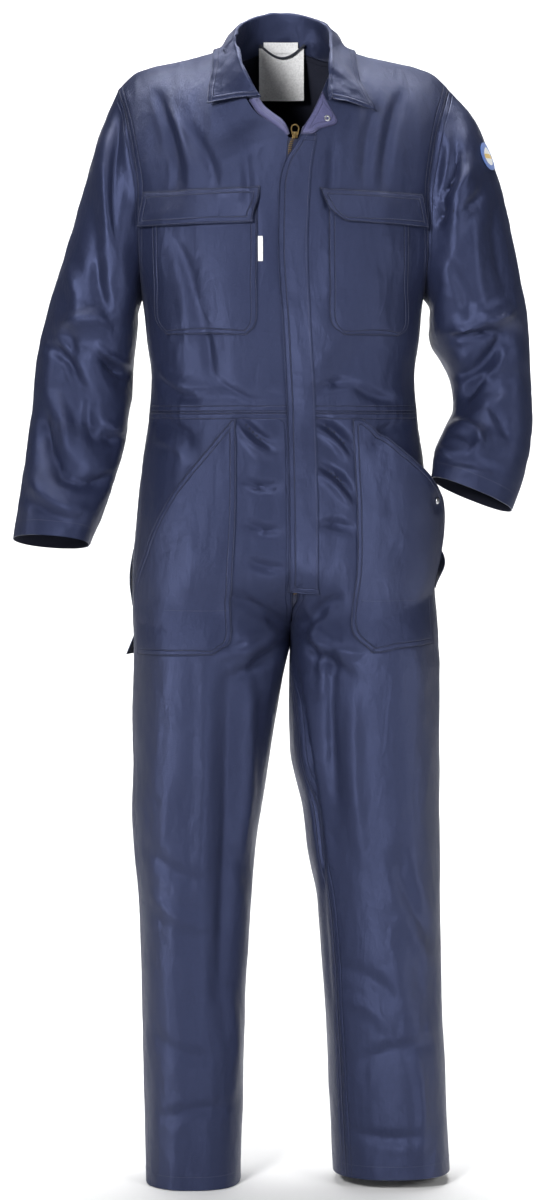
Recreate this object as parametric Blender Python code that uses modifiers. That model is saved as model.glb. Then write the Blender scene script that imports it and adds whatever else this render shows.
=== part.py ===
"""Boiler suit, filled out as worn, with no wearer in it.

Every piece that a maker would cut is one object. Cloth is a wall of constant thickness on
a surface that is worked out from section tables: the trunk and the legs from level
sections, the sleeves from rings. Panels share the points of their seams and stop half a
seam gap short of them. What lies on a panel is laid on its points and moved out.

Frame: metres, +Z up, the garment faces -Y, its left side is at +X. The origin is between
the shoulders, at the height where the shoulder seams meet the neck.
"""
import math
from collections import namedtuple

import bmesh
import bpy
import numpy as np
from mathutils import Quaternion, Vector
from mathutils.bvhtree import BVHTree

# ---------------------------------------------------------------- driving dimensions
WALL = 0.0015                # cloth with its turnings
SEAM_GAP = 0.0003            # between two panels at a seam
LAY_GAP = 0.0004             # under a patch, over the cloth that it lies on
CLEARANCE = 0.0006           # least gap of a patch, between its points too
UNDERARM_Z = -0.326
WAIST_Z = -0.476
CROTCH_Z = -0.790
SEAT_Z = -0.650              # where the trunk starts to divide into legs
SHOULDER_TIP_Z = -0.060
SHOULDER_POWER = 3.0         # how squarely the shoulder rolls over
SECTION_POWER = 2.4          # how square the level sections are
RING_POWER = 2.2             # how square the sleeve rings are
FLY_END_Z = -0.716
V_LEVEL = 0.53               # bodice level at which the neck opening ends

TRUNK_COLUMNS = 10           # from the centre line to the side seam
BODICE_ROWS = 5              # from the waist seam to the underarm
TROUSER_LEVELS = (           # from the waist seam; the hem of each leg comes last
    WAIST_Z, -0.508, -0.542, -0.578, -0.612, -0.644, -0.672, -0.697, -0.718, -0.737, -0.755,
    -0.773, CROTCH_Z, -0.808, -0.832, -0.862, -0.898, -0.936, -0.976, -1.018, -1.062, -1.108,
    -1.158, -1.212, -1.270, -1.330, -1.392, -1.452)
BODICE_LEVELS = (0.0, 0.05, 0.15, 0.29, 0.42, V_LEVEL, 0.63, 0.74, 0.85, 0.94, 1.0)

NAVY = (0.060, 0.067, 0.135, 1.0)
FACING_NAVY = (0.085, 0.085, 0.175, 1.0)
BRASS = (0.60, 0.45, 0.20, 1.0)
NICKEL = (0.78, 0.80, 0.82, 1.0)
WHITE = (0.90, 0.90, 0.90, 1.0)
GREY_TAPE = (0.06, 0.07, 0.07, 1.0)
BADGE_BLUE = (0.20, 0.32, 0.60, 1.0)

# ---------------------------------------------------------------- section tables
TrunkRow = namedtuple("TrunkRow", "z half_width front back")
TRUNK = (
    TrunkRow(-0.800, 0.204, 0.116, 0.128),
    TrunkRow(-0.700, 0.202, 0.122, 0.134),
    TrunkRow(-0.620, 0.196, 0.124, 0.130),
    TrunkRow(-0.540, 0.187, 0.120, 0.118),
    TrunkRow(-0.476, 0.178, 0.115, 0.106),
    TrunkRow(-0.430, 0.175, 0.118, 0.104),
    TrunkRow(-0.380, 0.181, 0.124, 0.107),
    TrunkRow(-0.326, 0.187, 0.130, 0.114),
    TrunkRow(-0.250, 0.206, 0.132, 0.119),
    TrunkRow(-0.180, 0.215, 0.129, 0.119),
    TrunkRow(-0.100, 0.228, 0.123, 0.114),
    TrunkRow(-0.000, 0.242, 0.116, 0.108),
)

# Bodice above the underarm: level 0 at the underarm, 1 at the shoulder seam.
ArmholeRow = namedtuple("ArmholeRow", "level edge_x")
ARMHOLE = (
    ArmholeRow(0.00, 0.187),
    ArmholeRow(0.05, 0.188),
    ArmholeRow(0.28, 0.190),
    ArmholeRow(0.45, 0.190),
    ArmholeRow(0.63, 0.196),
    ArmholeRow(0.78, 0.204),
    ArmholeRow(0.90, 0.212),
    ArmholeRow(1.00, 0.2185),
)

# Edge of each front where the neck is open, measured towards its own side.
NeckRow = namedtuple("NeckRow", "level right left")
NECK_FRONT = (
    NeckRow(0.53, -0.0065, 0.0190),
    NeckRow(0.57, 0.0095, 0.0250),
    NeckRow(0.63, 0.0340, 0.0360),
    NeckRow(0.74, 0.0520, 0.0500),
    NeckRow(0.85, 0.0640, 0.0620),
    NeckRow(1.00, 0.078, 0.078),
)

RidgeRow = namedtuple("RidgeRow", "x top_z back_level")
RIDGE = (                    # shoulder line, and how high the back reaches under it
    RidgeRow(0.000, 0.062, 0.869),
    RidgeRow(0.030, 0.050, 0.878),
    RidgeRow(0.055, 0.026, 0.912),
    RidgeRow(0.070, 0.010, 0.960),
    RidgeRow(0.078, 0.004, 1.000),
    RidgeRow(0.108, -0.006, 1.000),
    RidgeRow(0.190, -0.026, 1.000),
    RidgeRow(0.2185, -0.050, 1.000),
    RidgeRow(0.242, -0.078, 1.000),
)

ZipRow = namedtuple("ZipRow", "z x half_gap")
ZIP_LINE = (                 # the centre front, and half the distance between the fronts
    ZipRow(-0.800, 0.0093, 0.00015),
    ZipRow(-0.735, 0.0150, 0.00015),
    ZipRow(-0.722, 0.0170, 0.0043),
    ZipRow(-0.620, 0.0170, 0.0043),
    ZipRow(-0.476, 0.0145, 0.0043),
    ZipRow(-0.360, 0.0080, 0.0043),
    ZipRow(-0.260, 0.0040, 0.0043),
    ZipRow(-0.180, 0.0075, 0.0043),
    ZipRow(-0.110, 0.0150, 0.0043),
)

# Legs, measured towards their own side. The seam columns are angles round the ring from
# its outer side, positive to the front.
LegRow = namedtuple("LegRow", "z inner outer front back side_seam inseam")
RIGHT_LEG = (
    LegRow(-0.790, -0.0090, 0.200, 0.111, 0.121, 0, 180),
    LegRow(-0.815, -0.0030, 0.200, 0.109, 0.119, 0, 180),
    LegRow(-0.862, 0.0060, 0.201, 0.104, 0.113, 4, 180),
    LegRow(-0.930, 0.0170, 0.201, 0.097, 0.104, 12, 180),
    LegRow(-1.000, 0.0280, 0.203, 0.090, 0.097, 20, 180),
    LegRow(-1.065, 0.0380, 0.200, 0.084, 0.091, 20, 180),
    LegRow(-1.133, 0.0430, 0.194, 0.080, 0.087, 18, 180),
    LegRow(-1.270, 0.0510, 0.190, 0.075, 0.082, 16, 180),
    LegRow(-1.513, 0.0570, 0.186, 0.070, 0.077, 26, 180),
)
LEFT_LEG = (
    LegRow(-0.790, 0.0096, 0.208, 0.111, 0.121, 0, 180),
    LegRow(-0.815, 0.0086, 0.210, 0.109, 0.119, -3, 168),
    LegRow(-0.862, 0.0080, 0.210, 0.104, 0.113, -6, 152),
    LegRow(-0.930, 0.0100, 0.210, 0.097, 0.104, -10, 146),
    LegRow(-1.000, 0.0250, 0.210, 0.090, 0.097, -14, 142),
    LegRow(-1.065, 0.0330, 0.211, 0.084, 0.091, -16, 140),
    LegRow(-1.133, 0.0460, 0.212, 0.080, 0.087, -18, 138),
    LegRow(-1.270, 0.0560, 0.215, 0.075, 0.082, -18, 138),
    LegRow(-1.499, 0.0680, 0.226, 0.070, 0.077, -18, 138),
)

# Sleeve rings, measured towards their own side: outer and inner point, centre and half
# depth, and how far the front stands above the ring's middle.
SleeveRow = namedtuple("SleeveRow", "outer_x outer_z inner_x inner_z y depth lift")
RIGHT_SLEEVE = (
    SleeveRow(0.243, -0.108, 0.1925, -0.345, 0.000, 0.088, 0.000),
    SleeveRow(0.262, -0.174, 0.1935, -0.357, 0.000, 0.086, 0.000),
    SleeveRow(0.283, -0.245, 0.1950, -0.374, 0.000, 0.081, 0.000),
    SleeveRow(0.304, -0.311, 0.1970, -0.396, 0.000, 0.076, 0.000),
    SleeveRow(0.320, -0.367, 0.2000, -0.421, 0.002, 0.071, 0.000),
    SleeveRow(0.329, -0.411, 0.2010, -0.447, 0.000, 0.067, 0.000),
    SleeveRow(0.332, -0.453, 0.2050, -0.477, -0.008, 0.063, 0.002),
    SleeveRow(0.338, -0.507, 0.2110, -0.520, -0.018, 0.060, 0.004),
    SleeveRow(0.345, -0.559, 0.2230, -0.563, -0.028, 0.057, 0.006),
    SleeveRow(0.352, -0.606, 0.2380, -0.608, -0.035, 0.053, 0.009),
    SleeveRow(0.358, -0.644, 0.2570, -0.651, -0.041, 0.050, 0.011),
)
LEFT_SLEEVE = (
    SleeveRow(0.252, -0.087, 0.1955, -0.338, 0.000, 0.088, 0.000),
    SleeveRow(0.280, -0.150, 0.1955, -0.350, 0.001, 0.086, 0.000),
    SleeveRow(0.300, -0.221, 0.1950, -0.362, 0.006, 0.083, 0.000),
    SleeveRow(0.315, -0.290, 0.1950, -0.375, 0.012, 0.078, 0.000),
    SleeveRow(0.327, -0.351, 0.2000, -0.391, 0.018, 0.072, 0.000),
    SleeveRow(0.330, -0.397, 0.2120, -0.410, 0.020, 0.068, 0.000),
    SleeveRow(0.332, -0.440, 0.2220, -0.431, 0.016, 0.065, 0.000),
    SleeveRow(0.333, -0.477, 0.2270, -0.453, 0.007, 0.062, 0.002),
    SleeveRow(0.331, -0.511, 0.2260, -0.476, -0.006, 0.059, 0.003),
    SleeveRow(0.324, -0.546, 0.2130, -0.500, -0.022, 0.056, 0.005),
    SleeveRow(0.314, -0.577, 0.2010, -0.528, -0.037, 0.053, 0.007),
    SleeveRow(0.302, -0.606, 0.1960, -0.563, -0.052, 0.050, 0.009),
)

# The largest folds, as curves on (x, z) between two ends with a bow to the left of their
# way, half a width, and a height that is negative in a trough. Face is -1 in front.
FoldRow = namedtuple("FoldRow", "face x0 z0 x1 z1 bow width height")
FOLDS = (
    # right sleeve
    FoldRow(-1, -0.222, -0.080, -0.210, -0.262, 0.004, 0.026, -0.006),
    FoldRow(-1, -0.202, -0.330, -0.290, -0.352, 0.012, 0.030, 0.006),
    FoldRow(-1, -0.292, -0.376, -0.222, -0.528, -0.026, 0.026, -0.008),
    FoldRow(-1, -0.232, -0.408, -0.202, -0.440, 0.000, 0.024, -0.006),
    FoldRow(-1, -0.320, -0.480, -0.232, -0.572, -0.026, 0.027, -0.008),
    FoldRow(-1, -0.330, -0.560, -0.262, -0.606, -0.004, 0.026, 0.005),
    FoldRow(1, -0.290, -0.392, -0.214, -0.428, 0.010, 0.028, -0.007),
    FoldRow(1, -0.306, -0.470, -0.224, -0.520, 0.014, 0.028, -0.007),
    FoldRow(1, -0.226, -0.110, -0.214, -0.250, 0.006, 0.028, -0.006),
    # left sleeve
    FoldRow(-1, 0.218, -0.110, 0.206, -0.262, -0.006, 0.026, -0.006),
    FoldRow(-1, 0.246, -0.160, 0.210, -0.236, 0.004, 0.026, 0.005),
    FoldRow(-1, 0.222, -0.372, 0.306, -0.348, 0.006, 0.026, 0.007),
    FoldRow(-1, 0.300, -0.376, 0.232, -0.440, 0.004, 0.026, -0.008),
    FoldRow(-1, 0.226, -0.474, 0.290, -0.436, 0.006, 0.026, -0.007),
    FoldRow(-1, 0.222, -0.500, 0.262, -0.536, 0.012, 0.025, 0.005),
    FoldRow(1, 0.302, -0.356, 0.220, -0.398, -0.010, 0.028, -0.007),
    FoldRow(1, 0.306, -0.446, 0.232, -0.462, -0.010, 0.028, -0.007),
    FoldRow(1, 0.236, -0.110, 0.216, -0.250, -0.006, 0.028, -0.006),
    # bodice
    FoldRow(-1, -0.176, -0.086, -0.146, -0.196, 0.004, 0.030, -0.004),
    FoldRow(-1, -0.140, -0.250, -0.094, -0.440, 0.006, 0.036, -0.005),
    FoldRow(-1, 0.060, -0.448, 0.130, -0.384, 0.008, 0.034, -0.005),
    FoldRow(1, -0.120, -0.100, -0.070, -0.330, 0.010, 0.040, -0.005),
    FoldRow(1, 0.130, -0.120, 0.076, -0.350, -0.010, 0.040, -0.005),
    FoldRow(1, -0.100, -0.400, 0.080, -0.420, -0.012, 0.036, 0.005),
    # trousers
    FoldRow(-1, 0.050, -0.498, 0.082, -0.545, 0.000, 0.030, -0.005),
    FoldRow(-1, -0.010, -0.790, -0.072, -0.842, 0.006, 0.030, -0.005),
    FoldRow(-1, 0.030, -0.790, 0.088, -0.836, -0.006, 0.030, -0.005),
    FoldRow(-1, -0.073, -0.860, -0.080, -1.300, 0.004, 0.032, -0.005),
    FoldRow(-1, 0.064, -0.860, 0.070, -1.090, -0.004, 0.030, -0.005),
    FoldRow(-1, 0.150, -1.150, 0.196, -1.300, 0.010, 0.034, -0.004),
    FoldRow(1, -0.020, -0.740, -0.120, -0.800, 0.014, 0.034, -0.006),
    FoldRow(1, 0.036, -0.745, 0.130, -0.806, -0.014, 0.034, -0.006),
    FoldRow(1, -0.060, -1.040, -0.164, -1.070, 0.012, 0.036, -0.006),
    FoldRow(1, 0.070, -1.020, 0.176, -1.064, -0.012, 0.036, -0.006),
    FoldRow(1, -0.110, -1.140, -0.120, -1.400, 0.006, 0.034, 0.004),
    FoldRow(1, 0.130, -1.140, 0.140, -1.400, -0.006, 0.034, 0.004),
)

# Collar: from its right front end round the back to its left front end.
CollarRow = namedtuple("CollarRow", "fold_x fold_y fold_z edge_x edge_y edge_z")
COLLAR = (
    CollarRow(-0.0300, -0.113, -0.070, -0.0990, -0.112, -0.077),
    CollarRow(-0.0360, -0.111, -0.060, -0.0985, -0.106, -0.069),
    CollarRow(-0.0440, -0.106, -0.046, -0.0980, -0.098, -0.059),
    CollarRow(-0.0520, -0.096, -0.029, -0.0950, -0.086, -0.046),
    CollarRow(-0.0570, -0.080, -0.011, -0.0910, -0.066, -0.030),
    CollarRow(-0.0600, -0.055, 0.006, -0.0880, -0.040, -0.016),
    CollarRow(-0.0605, -0.020, 0.020, -0.0870, -0.010, -0.006),
    CollarRow(-0.0580, 0.020, 0.032, -0.0850, 0.026, -0.002),
    CollarRow(-0.0500, 0.046, 0.042, -0.0740, 0.062, -0.004),
    CollarRow(-0.0300, 0.066, 0.052, -0.0440, 0.098, -0.010),
    CollarRow(0.0000, 0.073, 0.057, 0.0000, 0.112, -0.012),
    CollarRow(0.0300, 0.066, 0.052, 0.0440, 0.098, -0.010),
    CollarRow(0.0510, 0.046, 0.041, 0.0740, 0.062, -0.004),
    CollarRow(0.0600, 0.020, 0.030, 0.0850, 0.026, -0.002),
    CollarRow(0.0615, -0.026, 0.018, 0.0880, -0.014, -0.007),
    CollarRow(0.0610, -0.060, 0.004, 0.0910, -0.042, -0.020),
    CollarRow(0.0605, -0.083, -0.014, 0.0960, -0.068, -0.036),
    CollarRow(0.0595, -0.096, -0.031, 0.1020, -0.086, -0.052),
    CollarRow(0.0585, -0.103, -0.046, 0.1090, -0.098, -0.066),
    CollarRow(0.0580, -0.110, -0.060, 0.1160, -0.106, -0.078),
    CollarRow(0.0600, -0.117, -0.074, 0.1210, -0.108, -0.088),
)
COLLAR_SEAM = (0.06, 0.90)   # where the collar starts and ends along the neck edge
COLLAR_COLUMNS = 28
COLLAR_CLEARANCE = 0.0030    # from the panels to the middle of the collar's cloth
COLLAR_SEAM_CLEARANCE = 0.0018
COLLAR_SEAM_INSET = 0.0010   # the seam's fold inside the neck edge
COLLAR_REACH = 0.004         # farther than this from the panels, the collar hangs free
COLLAR_TURNING = 0.004       # the stand's turning, on the outside of the neck edge

# Patches on the front: edges as (x, z) from top to bottom, towards the centre and away.
CHEST_POCKETS = {
    "right": (((-0.034, -0.212), (-0.033, -0.260), (-0.034, -0.310), (-0.034, -0.358), (-0.048, -0.376)),
              ((-0.171, -0.212), (-0.170, -0.260), (-0.168, -0.310), (-0.167, -0.354), (-0.152, -0.375))),
    "left": (((0.058, -0.212), (0.058, -0.260), (0.059, -0.310), (0.060, -0.358), (0.079, -0.376)),
             ((0.164, -0.212), (0.163, -0.260), (0.162, -0.310), (0.163, -0.362), (0.150, -0.377))),
}
FLAPS = {
    "right": (((-0.030, -0.184), (-0.031, -0.200), (-0.035, -0.216), (-0.040, -0.232)),
              ((-0.183, -0.189), (-0.183, -0.204), (-0.184, -0.219), (-0.184, -0.235))),
    "left": (((0.047, -0.186), (0.051, -0.200), (0.058, -0.213), (0.078, -0.230)),
             ((0.181, -0.192), (0.182, -0.206), (0.183, -0.220), (0.184, -0.236))),
}
FLAP_STAND = 0.0060          # a flap's lower edge from the pocket's cloth
POCKET_CROWN = 0.0025
# Hip pockets: the inner edge, then the slanted mouth and the side edge, on (x, z).
HIP_POCKETS = {
    "right": (((-0.061, -0.484), (-0.061, -0.602), (-0.066, -0.700), (-0.066, -0.768), (-0.091, -0.792)),
              ((-0.066, -0.484), (-0.148, -0.591), (-0.186, -0.688), (-0.192, -0.740), (-0.190, -0.796))),
    "left": (((0.089, -0.484), (0.095, -0.602), (0.095, -0.690), (0.088, -0.758), (0.116, -0.790)),
             ((0.103, -0.484), (0.166, -0.548), (0.194, -0.612), (0.194, -0.700), (0.188, -0.782))),
}
HIP_POCKET_GAPE = {"right": 0.006, "left": 0.022}
SLIT_GUARDS = {"right": (-0.660, -0.735, 0.003), "left": (-0.640, -0.712, 0.016)}
SLIT_GUARD_WIDTH = 0.018
RULE_POCKET = (((-0.100, -0.815), (-0.100, -1.000)), ((-0.178, -0.815), (-0.174, -1.000)))
RULE_FLAP = (((-0.096, -0.768), (-0.096, -0.806)), ((-0.191, -0.758), (-0.1985, -0.804)))
RULE_FLAP_STAND = 0.014

# The left front's corner, turned out over the front, and the right front's rolled edge.
LEFT_LAPEL = (((0.056, -0.056), (0.0455, -0.0700), (0.0350, -0.0870), (0.0275, -0.1020), (0.0218, -0.1165)),
              ((0.066, -0.082), (0.0730, -0.0995), (0.0525, -0.1075), (0.0375, -0.1125), (0.0225, -0.1180)))
RIGHT_LAPEL_WIDTH = 0.014
RIGHT_LAPEL_TURN = 0.012     # how far the rolled edge goes back into the neck

NECK_SNAP = (0.059, -0.094)
NECK_SNAP_RADIUS = 0.0042
HIP_STUD = (0.186, -0.592)
HIP_STUD_RADIUS = 0.0045
BADGE_PLACE = (0.300, -0.060, -0.128)
BADGE_RADIUS = 0.019

SLIDER_X = 0.0150
SLIDER_RECESS = 0.0033       # its middle behind the fronts' outer faces
SLIDER_SIZE = (0.0070, 0.0030, 0.0080)
BRIDGE = ((0, -0.0018, -0.0030), (0, -0.0040, -0.0029), (0, -0.0053, -0.0015), (0, -0.0056, 0),
          (0, -0.0053, 0.0015), (0, -0.0040, 0.0029), (0, -0.0018, 0.0030))
BRIDGE_WIRE = 0.0007
PIVOT_AHEAD = -0.0034        # the pull tab's axis, from the slider's middle
TAB_LENGTH = 0.0130
TAB_HALF_WIDTH = 0.0048
TAB_WIRE = 0.0009
NECK_LABEL = ((-0.032, 0.012), (0.028, -0.058))
SIZE_LABEL = ((-0.026, 0.020), (0.020, 0.006))
SIDE_LABEL = ((-0.0325, -0.249), (-0.0265, -0.281))
LABEL_WALL = 0.0010
LABEL_SEAM_Z = 0.016
LABEL_STAND_OFF = 0.0016     # the first label from the stand, clear of the back's top edge
LOOP_ENDS = (-0.031, 0.029)
LOOP_TOP_Z = 0.016
LOOP_SAG = 0.017
LOOP_RADIUS = 0.0018
PlacketRow = namedtuple("PlacketRow", "z free_x sewn_x")
PLACKET = (
    PlacketRow(-0.117, 0.0235, 0.0440),
    PlacketRow(-0.125, 0.0190, 0.0425),
    PlacketRow(-0.137, 0.0110, 0.0400),
    PlacketRow(-0.150, 0.0030, 0.0375),
    PlacketRow(-0.164, -0.0020, 0.0355),
    PlacketRow(-0.180, -0.0052, 0.0345),
    PlacketRow(-0.260, -0.0070, 0.0310),
    PlacketRow(-0.360, -0.0010, 0.0350),
    PlacketRow(-0.476, 0.0045, 0.0415),
    PlacketRow(-0.620, 0.0075, 0.0450),
    PlacketRow(-0.722, 0.0080, 0.0450),
)
PLACKET_WALL = 0.0022
ZIP_RECESS = 0.0010          # the zip chain behind the fronts' outer faces


# ---------------------------------------------------------------- small helpers
def track(rows, key, name, at):
    """Smooth value of a column of a table, without overshoot, at a place of its key column."""
    table = sorted((getattr(row, key), getattr(row, name)) for row in rows)
    x = np.array([pair[0] for pair in table])
    y = np.array([pair[1] for pair in table])
    step = np.diff(x)
    rise = np.diff(y) / step
    slope = np.zeros_like(y)
    slope[0], slope[-1] = rise[0], rise[-1]
    for i in range(1, len(y) - 1):
        if rise[i - 1] * rise[i] > 0:
            slope[i] = 2 * rise[i - 1] * rise[i] / (rise[i - 1] + rise[i])
    at = float(np.clip(at, x[0], x[-1]))
    i = int(np.clip(np.searchsorted(x, at) - 1, 0, len(step) - 1))
    t = (at - x[i]) / step[i]
    return float(y[i] * (1 + 2 * t) * (1 - t) ** 2 + slope[i] * step[i] * t * (1 - t) ** 2
                 + y[i + 1] * t * t * (3 - 2 * t) + slope[i + 1] * step[i] * t * t * (t - 1))


def powered(value, power):
    """A power that keeps the sign."""
    return math.copysign(abs(value) ** power, value)


def spline(points, count):
    """Points at even parameters on a smooth curve through the given points."""
    points = np.array(points, dtype=float)
    padded = np.vstack([2 * points[0] - points[1], points, 2 * points[-1] - points[-2]])
    out = []
    for place in np.linspace(0, len(points) - 1, count):
        i = min(int(place), len(points) - 2)
        t = place - i
        a, b, c, d = padded[i:i + 4]
        out.append(0.5 * (2 * b + (c - a) * t + (2 * a - 5 * b + 4 * c - d) * t * t
                          + (3 * b - a - 3 * c + d) * t ** 3))
    return np.array(out)


# ---------------------------------------------------------------- surfaces of the garment
def section_angle(x, half_width):
    """Angle on a level section, from its centre line, at which the section reaches x."""
    return math.asin(powered(max(-1.0, min(1.0, x / half_width)), SECTION_POWER / 2))


def section_x(angle, half_width):
    return half_width * powered(math.sin(angle), 2 / SECTION_POWER)


def section_depth(angle, depth):
    return depth * powered(math.cos(angle), 2 / SECTION_POWER)


def zip_edge(z, side):
    """Edge of a front at the zip, measured towards its own side."""
    return side * track(ZIP_LINE, "z", "x", z) + track(ZIP_LINE, "z", "half_gap", z)


def bodice_point(u, level, side, face):
    """Point of the bodice above the underarm; face is -1 at the front and 1 at the back."""
    z_level = UNDERARM_Z * (1 - level)
    half_width = track(TRUNK, "z", "half_width", z_level)
    end = section_angle(track(ARMHOLE, "level", "edge_x", level), half_width)
    start = 0.0
    if face < 0:
        if level < V_LEVEL:
            inner = zip_edge(z_level, side)
        else:
            inner = track(NECK_FRONT, "level", "left" if side > 0 else "right", level)
        start = section_angle(inner, half_width)
    angle = start + (end - start) * u
    x = section_x(angle, half_width)
    if face > 0:
        level *= track(RIDGE, "x", "back_level", abs(x))
    depth = track(TRUNK, "z", "front" if face < 0 else "back", z_level)
    roll = (1 - level ** SHOULDER_POWER) ** (1 / SHOULDER_POWER)
    z = UNDERARM_Z + (track(RIDGE, "x", "top_z", abs(x)) - UNDERARM_Z) * level
    return (side * x, face * section_depth(angle, depth) * roll, z)


def trunk_point(u, z, side, face):
    """Point of a level section below the underarm, from the centre line to the side."""
    half_width = track(TRUNK, "z", "half_width", z)
    start = section_angle(zip_edge(z, side), half_width) if face < 0 else 0.0
    if face > 0 and z < WAIST_Z:
        start = section_angle(side * track(ZIP_LINE, "z", "x", z) * trunk_to_leg(z)
                              + SEAM_GAP / 2, half_width)
    angle = start + (math.pi / 2 - start) * u
    depth = track(TRUNK, "z", "front" if face < 0 else "back", z)
    return np.array((side * section_x(angle, half_width), face * section_depth(angle, depth), z))


def leg_point(u, z, side, face):
    """Point of a leg's ring, from the inseam to the side seam."""
    rows = LEFT_LEG if side > 0 else RIGHT_LEG
    inner = track(rows, "z", "inner", z)
    outer = track(rows, "z", "outer", z)
    side_seam = math.radians(track(rows, "z", "side_seam", z))
    inseam = math.radians(track(rows, "z", "inseam", z))
    if face > 0:
        inseam -= math.tau
    angle = inseam + (side_seam - inseam) * u
    depth = track(rows, "z", "front" if math.sin(angle) > 0 else "back", z)
    x = (inner + outer) / 2 + (outer - inner) / 2 * powered(math.cos(angle), 2 / SECTION_POWER)
    return np.array((side * x, -depth * powered(math.sin(angle), 2 / SECTION_POWER), z))


def trunk_to_leg(z):
    """0 in the trunk, 1 in the legs: how far the section has divided."""
    t = max(0.0, min(1.0, (SEAT_Z - z) / (SEAT_Z - CROTCH_Z)))
    return t ** 3.5 * (4.5 - 3.5 * t)


def trouser_point(u, z, side, face):
    share = min(1.0, trunk_to_leg(z))
    if share >= 1.0:
        return leg_point(u, z, side, face)
    if share <= 0.0:
        return trunk_point(u, z, side, face)
    return trunk_point(u, z, side, face) * (1 - share) + leg_point(u, z, side, face) * share


# ---------------------------------------------------------------- meshes
def new_collection(name):
    collection = bpy.data.collections.new(name)
    bpy.context.scene.collection.children.link(collection)
    return collection


def material(name, colour, roughness, metallic=0.0):
    made = bpy.data.materials.new(name)
    made.use_nodes = True
    shader = made.node_tree.nodes["Principled BSDF"]
    shader.inputs["Base Color"].default_value = colour
    shader.inputs["Roughness"].default_value = roughness
    shader.inputs["Metallic"].default_value = metallic
    return made


def add_object(name, mesh, finish, collection):
    made = bpy.data.objects.new(name, mesh)
    collection.objects.link(made)
    mesh.materials.append(finish)
    return made


class Panel:
    """A cut piece: a grid of points on its outer face, rows by columns.

    closed joins the last column to the first. seams names the borders that are sewn:
    top, bottom, first (column) and last (column).
    """

    def __init__(self, name, points, inside, closed=False, seams=()):
        self.name = name
        self.points = np.array(points)
        self.closed = closed
        self.seams = seams
        self.turn(inside)

    def turn(self, inside):
        """Reverse the columns where the grid's normals would point to the inside."""
        normals, middles = self.faces()
        facing = sum(np.dot(n, m - np.array(inside(m))) for n, m in zip(normals, middles))
        if facing < 0:
            self.points = self.points[:, ::-1]
            swap = {"first": "last", "last": "first"}
            self.seams = tuple(swap.get(seam, seam) for seam in self.seams)

    def corners(self):
        """Row and column indices of each face's corners, in order."""
        rows, columns = self.points.shape[:2]
        for i in range(rows - 1):
            for j in range(columns if self.closed else columns - 1):
                k = (j + 1) % columns
                yield (i, j), (i + 1, j), (i + 1, k), (i, k)

    def faces(self):
        normals, middles = [], []
        for corners in self.corners():
            a, b, c, d = (self.points[corner] for corner in corners)
            normals.append(np.cross(c - a, d - b) / 2)
            middles.append((a + b + c + d) / 4)
        return normals, middles


def halves(points, corners):
    """A four-sided face as two triangles, split along its shorter diagonal."""
    a, b, c, d = corners
    if np.linalg.norm(points[a] - points[c]) <= np.linalg.norm(points[b] - points[d]):
        return (a, b, c), (a, c, d)
    return (b, c, d), (b, d, a)


def seam_key(point):
    return tuple(np.round(point * 1e5).astype(int))


def shared_normals(panels):
    """Unit normals of each panel's points, averaged with its neighbours' at shared points."""
    sums = {}
    for panel in panels:
        normals, _ = panel.faces()
        for corners, normal in zip(panel.corners(), normals):
            for corner in corners:
                key = seam_key(panel.points[corner])
                sums[key] = sums.get(key, 0) + normal
    out = []
    for panel in panels:
        rows, columns = panel.points.shape[:2]
        grid = np.array([[sums[seam_key(panel.points[i, j])] for j in range(columns)]
                         for i in range(rows)])
        ridge = (np.abs(panel.points[..., 1]) < 1e-6) & (panel.points[..., 2] > SHOULDER_TIP_Z)
        grid[ridge, 1] = 0       # the shoulder seam runs along the ridge
        out.append(grid / np.linalg.norm(grid, axis=2, keepdims=True))
    return out


def inset(panel):
    """The panel's points, with sewn borders moved inwards by half a seam gap."""
    points = panel.points
    out = points.copy()
    for seam, border, inner, axis in (("top", 0, 1, 0), ("bottom", -1, -2, 0),
                                      ("first", 0, 1, 1), ("last", -1, -2, 1)):
        if seam not in panel.seams:
            continue
        step = np.take(points, inner, axis) - np.take(points, border, axis)
        moved = step / np.linalg.norm(step, axis=1, keepdims=True) * SEAM_GAP / 2
        if axis == 0:
            out[border] += moved
        else:
            out[:, border] += moved
    return out


def wall_mesh(panel, normals, wall=WALL):
    """Closed wall behind a panel's points, its inner face offset along shared normals."""
    outer = inset(panel)
    inner = outer - normals * wall
    rows, columns = outer.shape[:2]
    count = rows * columns
    faces = []
    for corners in panel.corners():
        for half in halves(panel.points, corners):
            face = [i * columns + j for i, j in half]
            faces.append(face)
            faces.append([count + k for k in reversed(face)])
    rims = []
    wrap = columns if panel.closed else columns - 1
    rims += [((0, (j + 1) % columns), (0, j)) for j in range(wrap)]
    rims += [((rows - 1, j), (rows - 1, (j + 1) % columns)) for j in range(wrap)]
    if not panel.closed:
        rims += [((i, 0), (i + 1, 0)) for i in range(rows - 1)]
        rims += [((i + 1, columns - 1), (i, columns - 1)) for i in range(rows - 1)]
    for (a, b), (c, d) in rims:
        k, m = a * columns + b, c * columns + d
        faces.append((m, k, count + k, count + m))
    mesh = bpy.data.meshes.new(panel.name)
    mesh.from_pydata(np.concatenate([outer.reshape(-1, 3), inner.reshape(-1, 3)]).tolist(), [], faces)
    mesh.update()
    mesh.shade_smooth()
    mesh.set_sharp_from_angle(angle=math.radians(50))
    return mesh


def grid_mesh(name, points):
    """Open surface through a grid of points."""
    rows, columns = points.shape[:2]
    faces = [[i * columns + j for i, j in half] for i in range(rows - 1) for j in range(columns - 1)
             for half in halves(points, ((i, j), (i + 1, j), (i + 1, j + 1), (i, j + 1)))]
    mesh = bpy.data.meshes.new(name)
    mesh.from_pydata(points.reshape(-1, 3).tolist(), [], faces)
    mesh.update()
    return mesh


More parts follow.
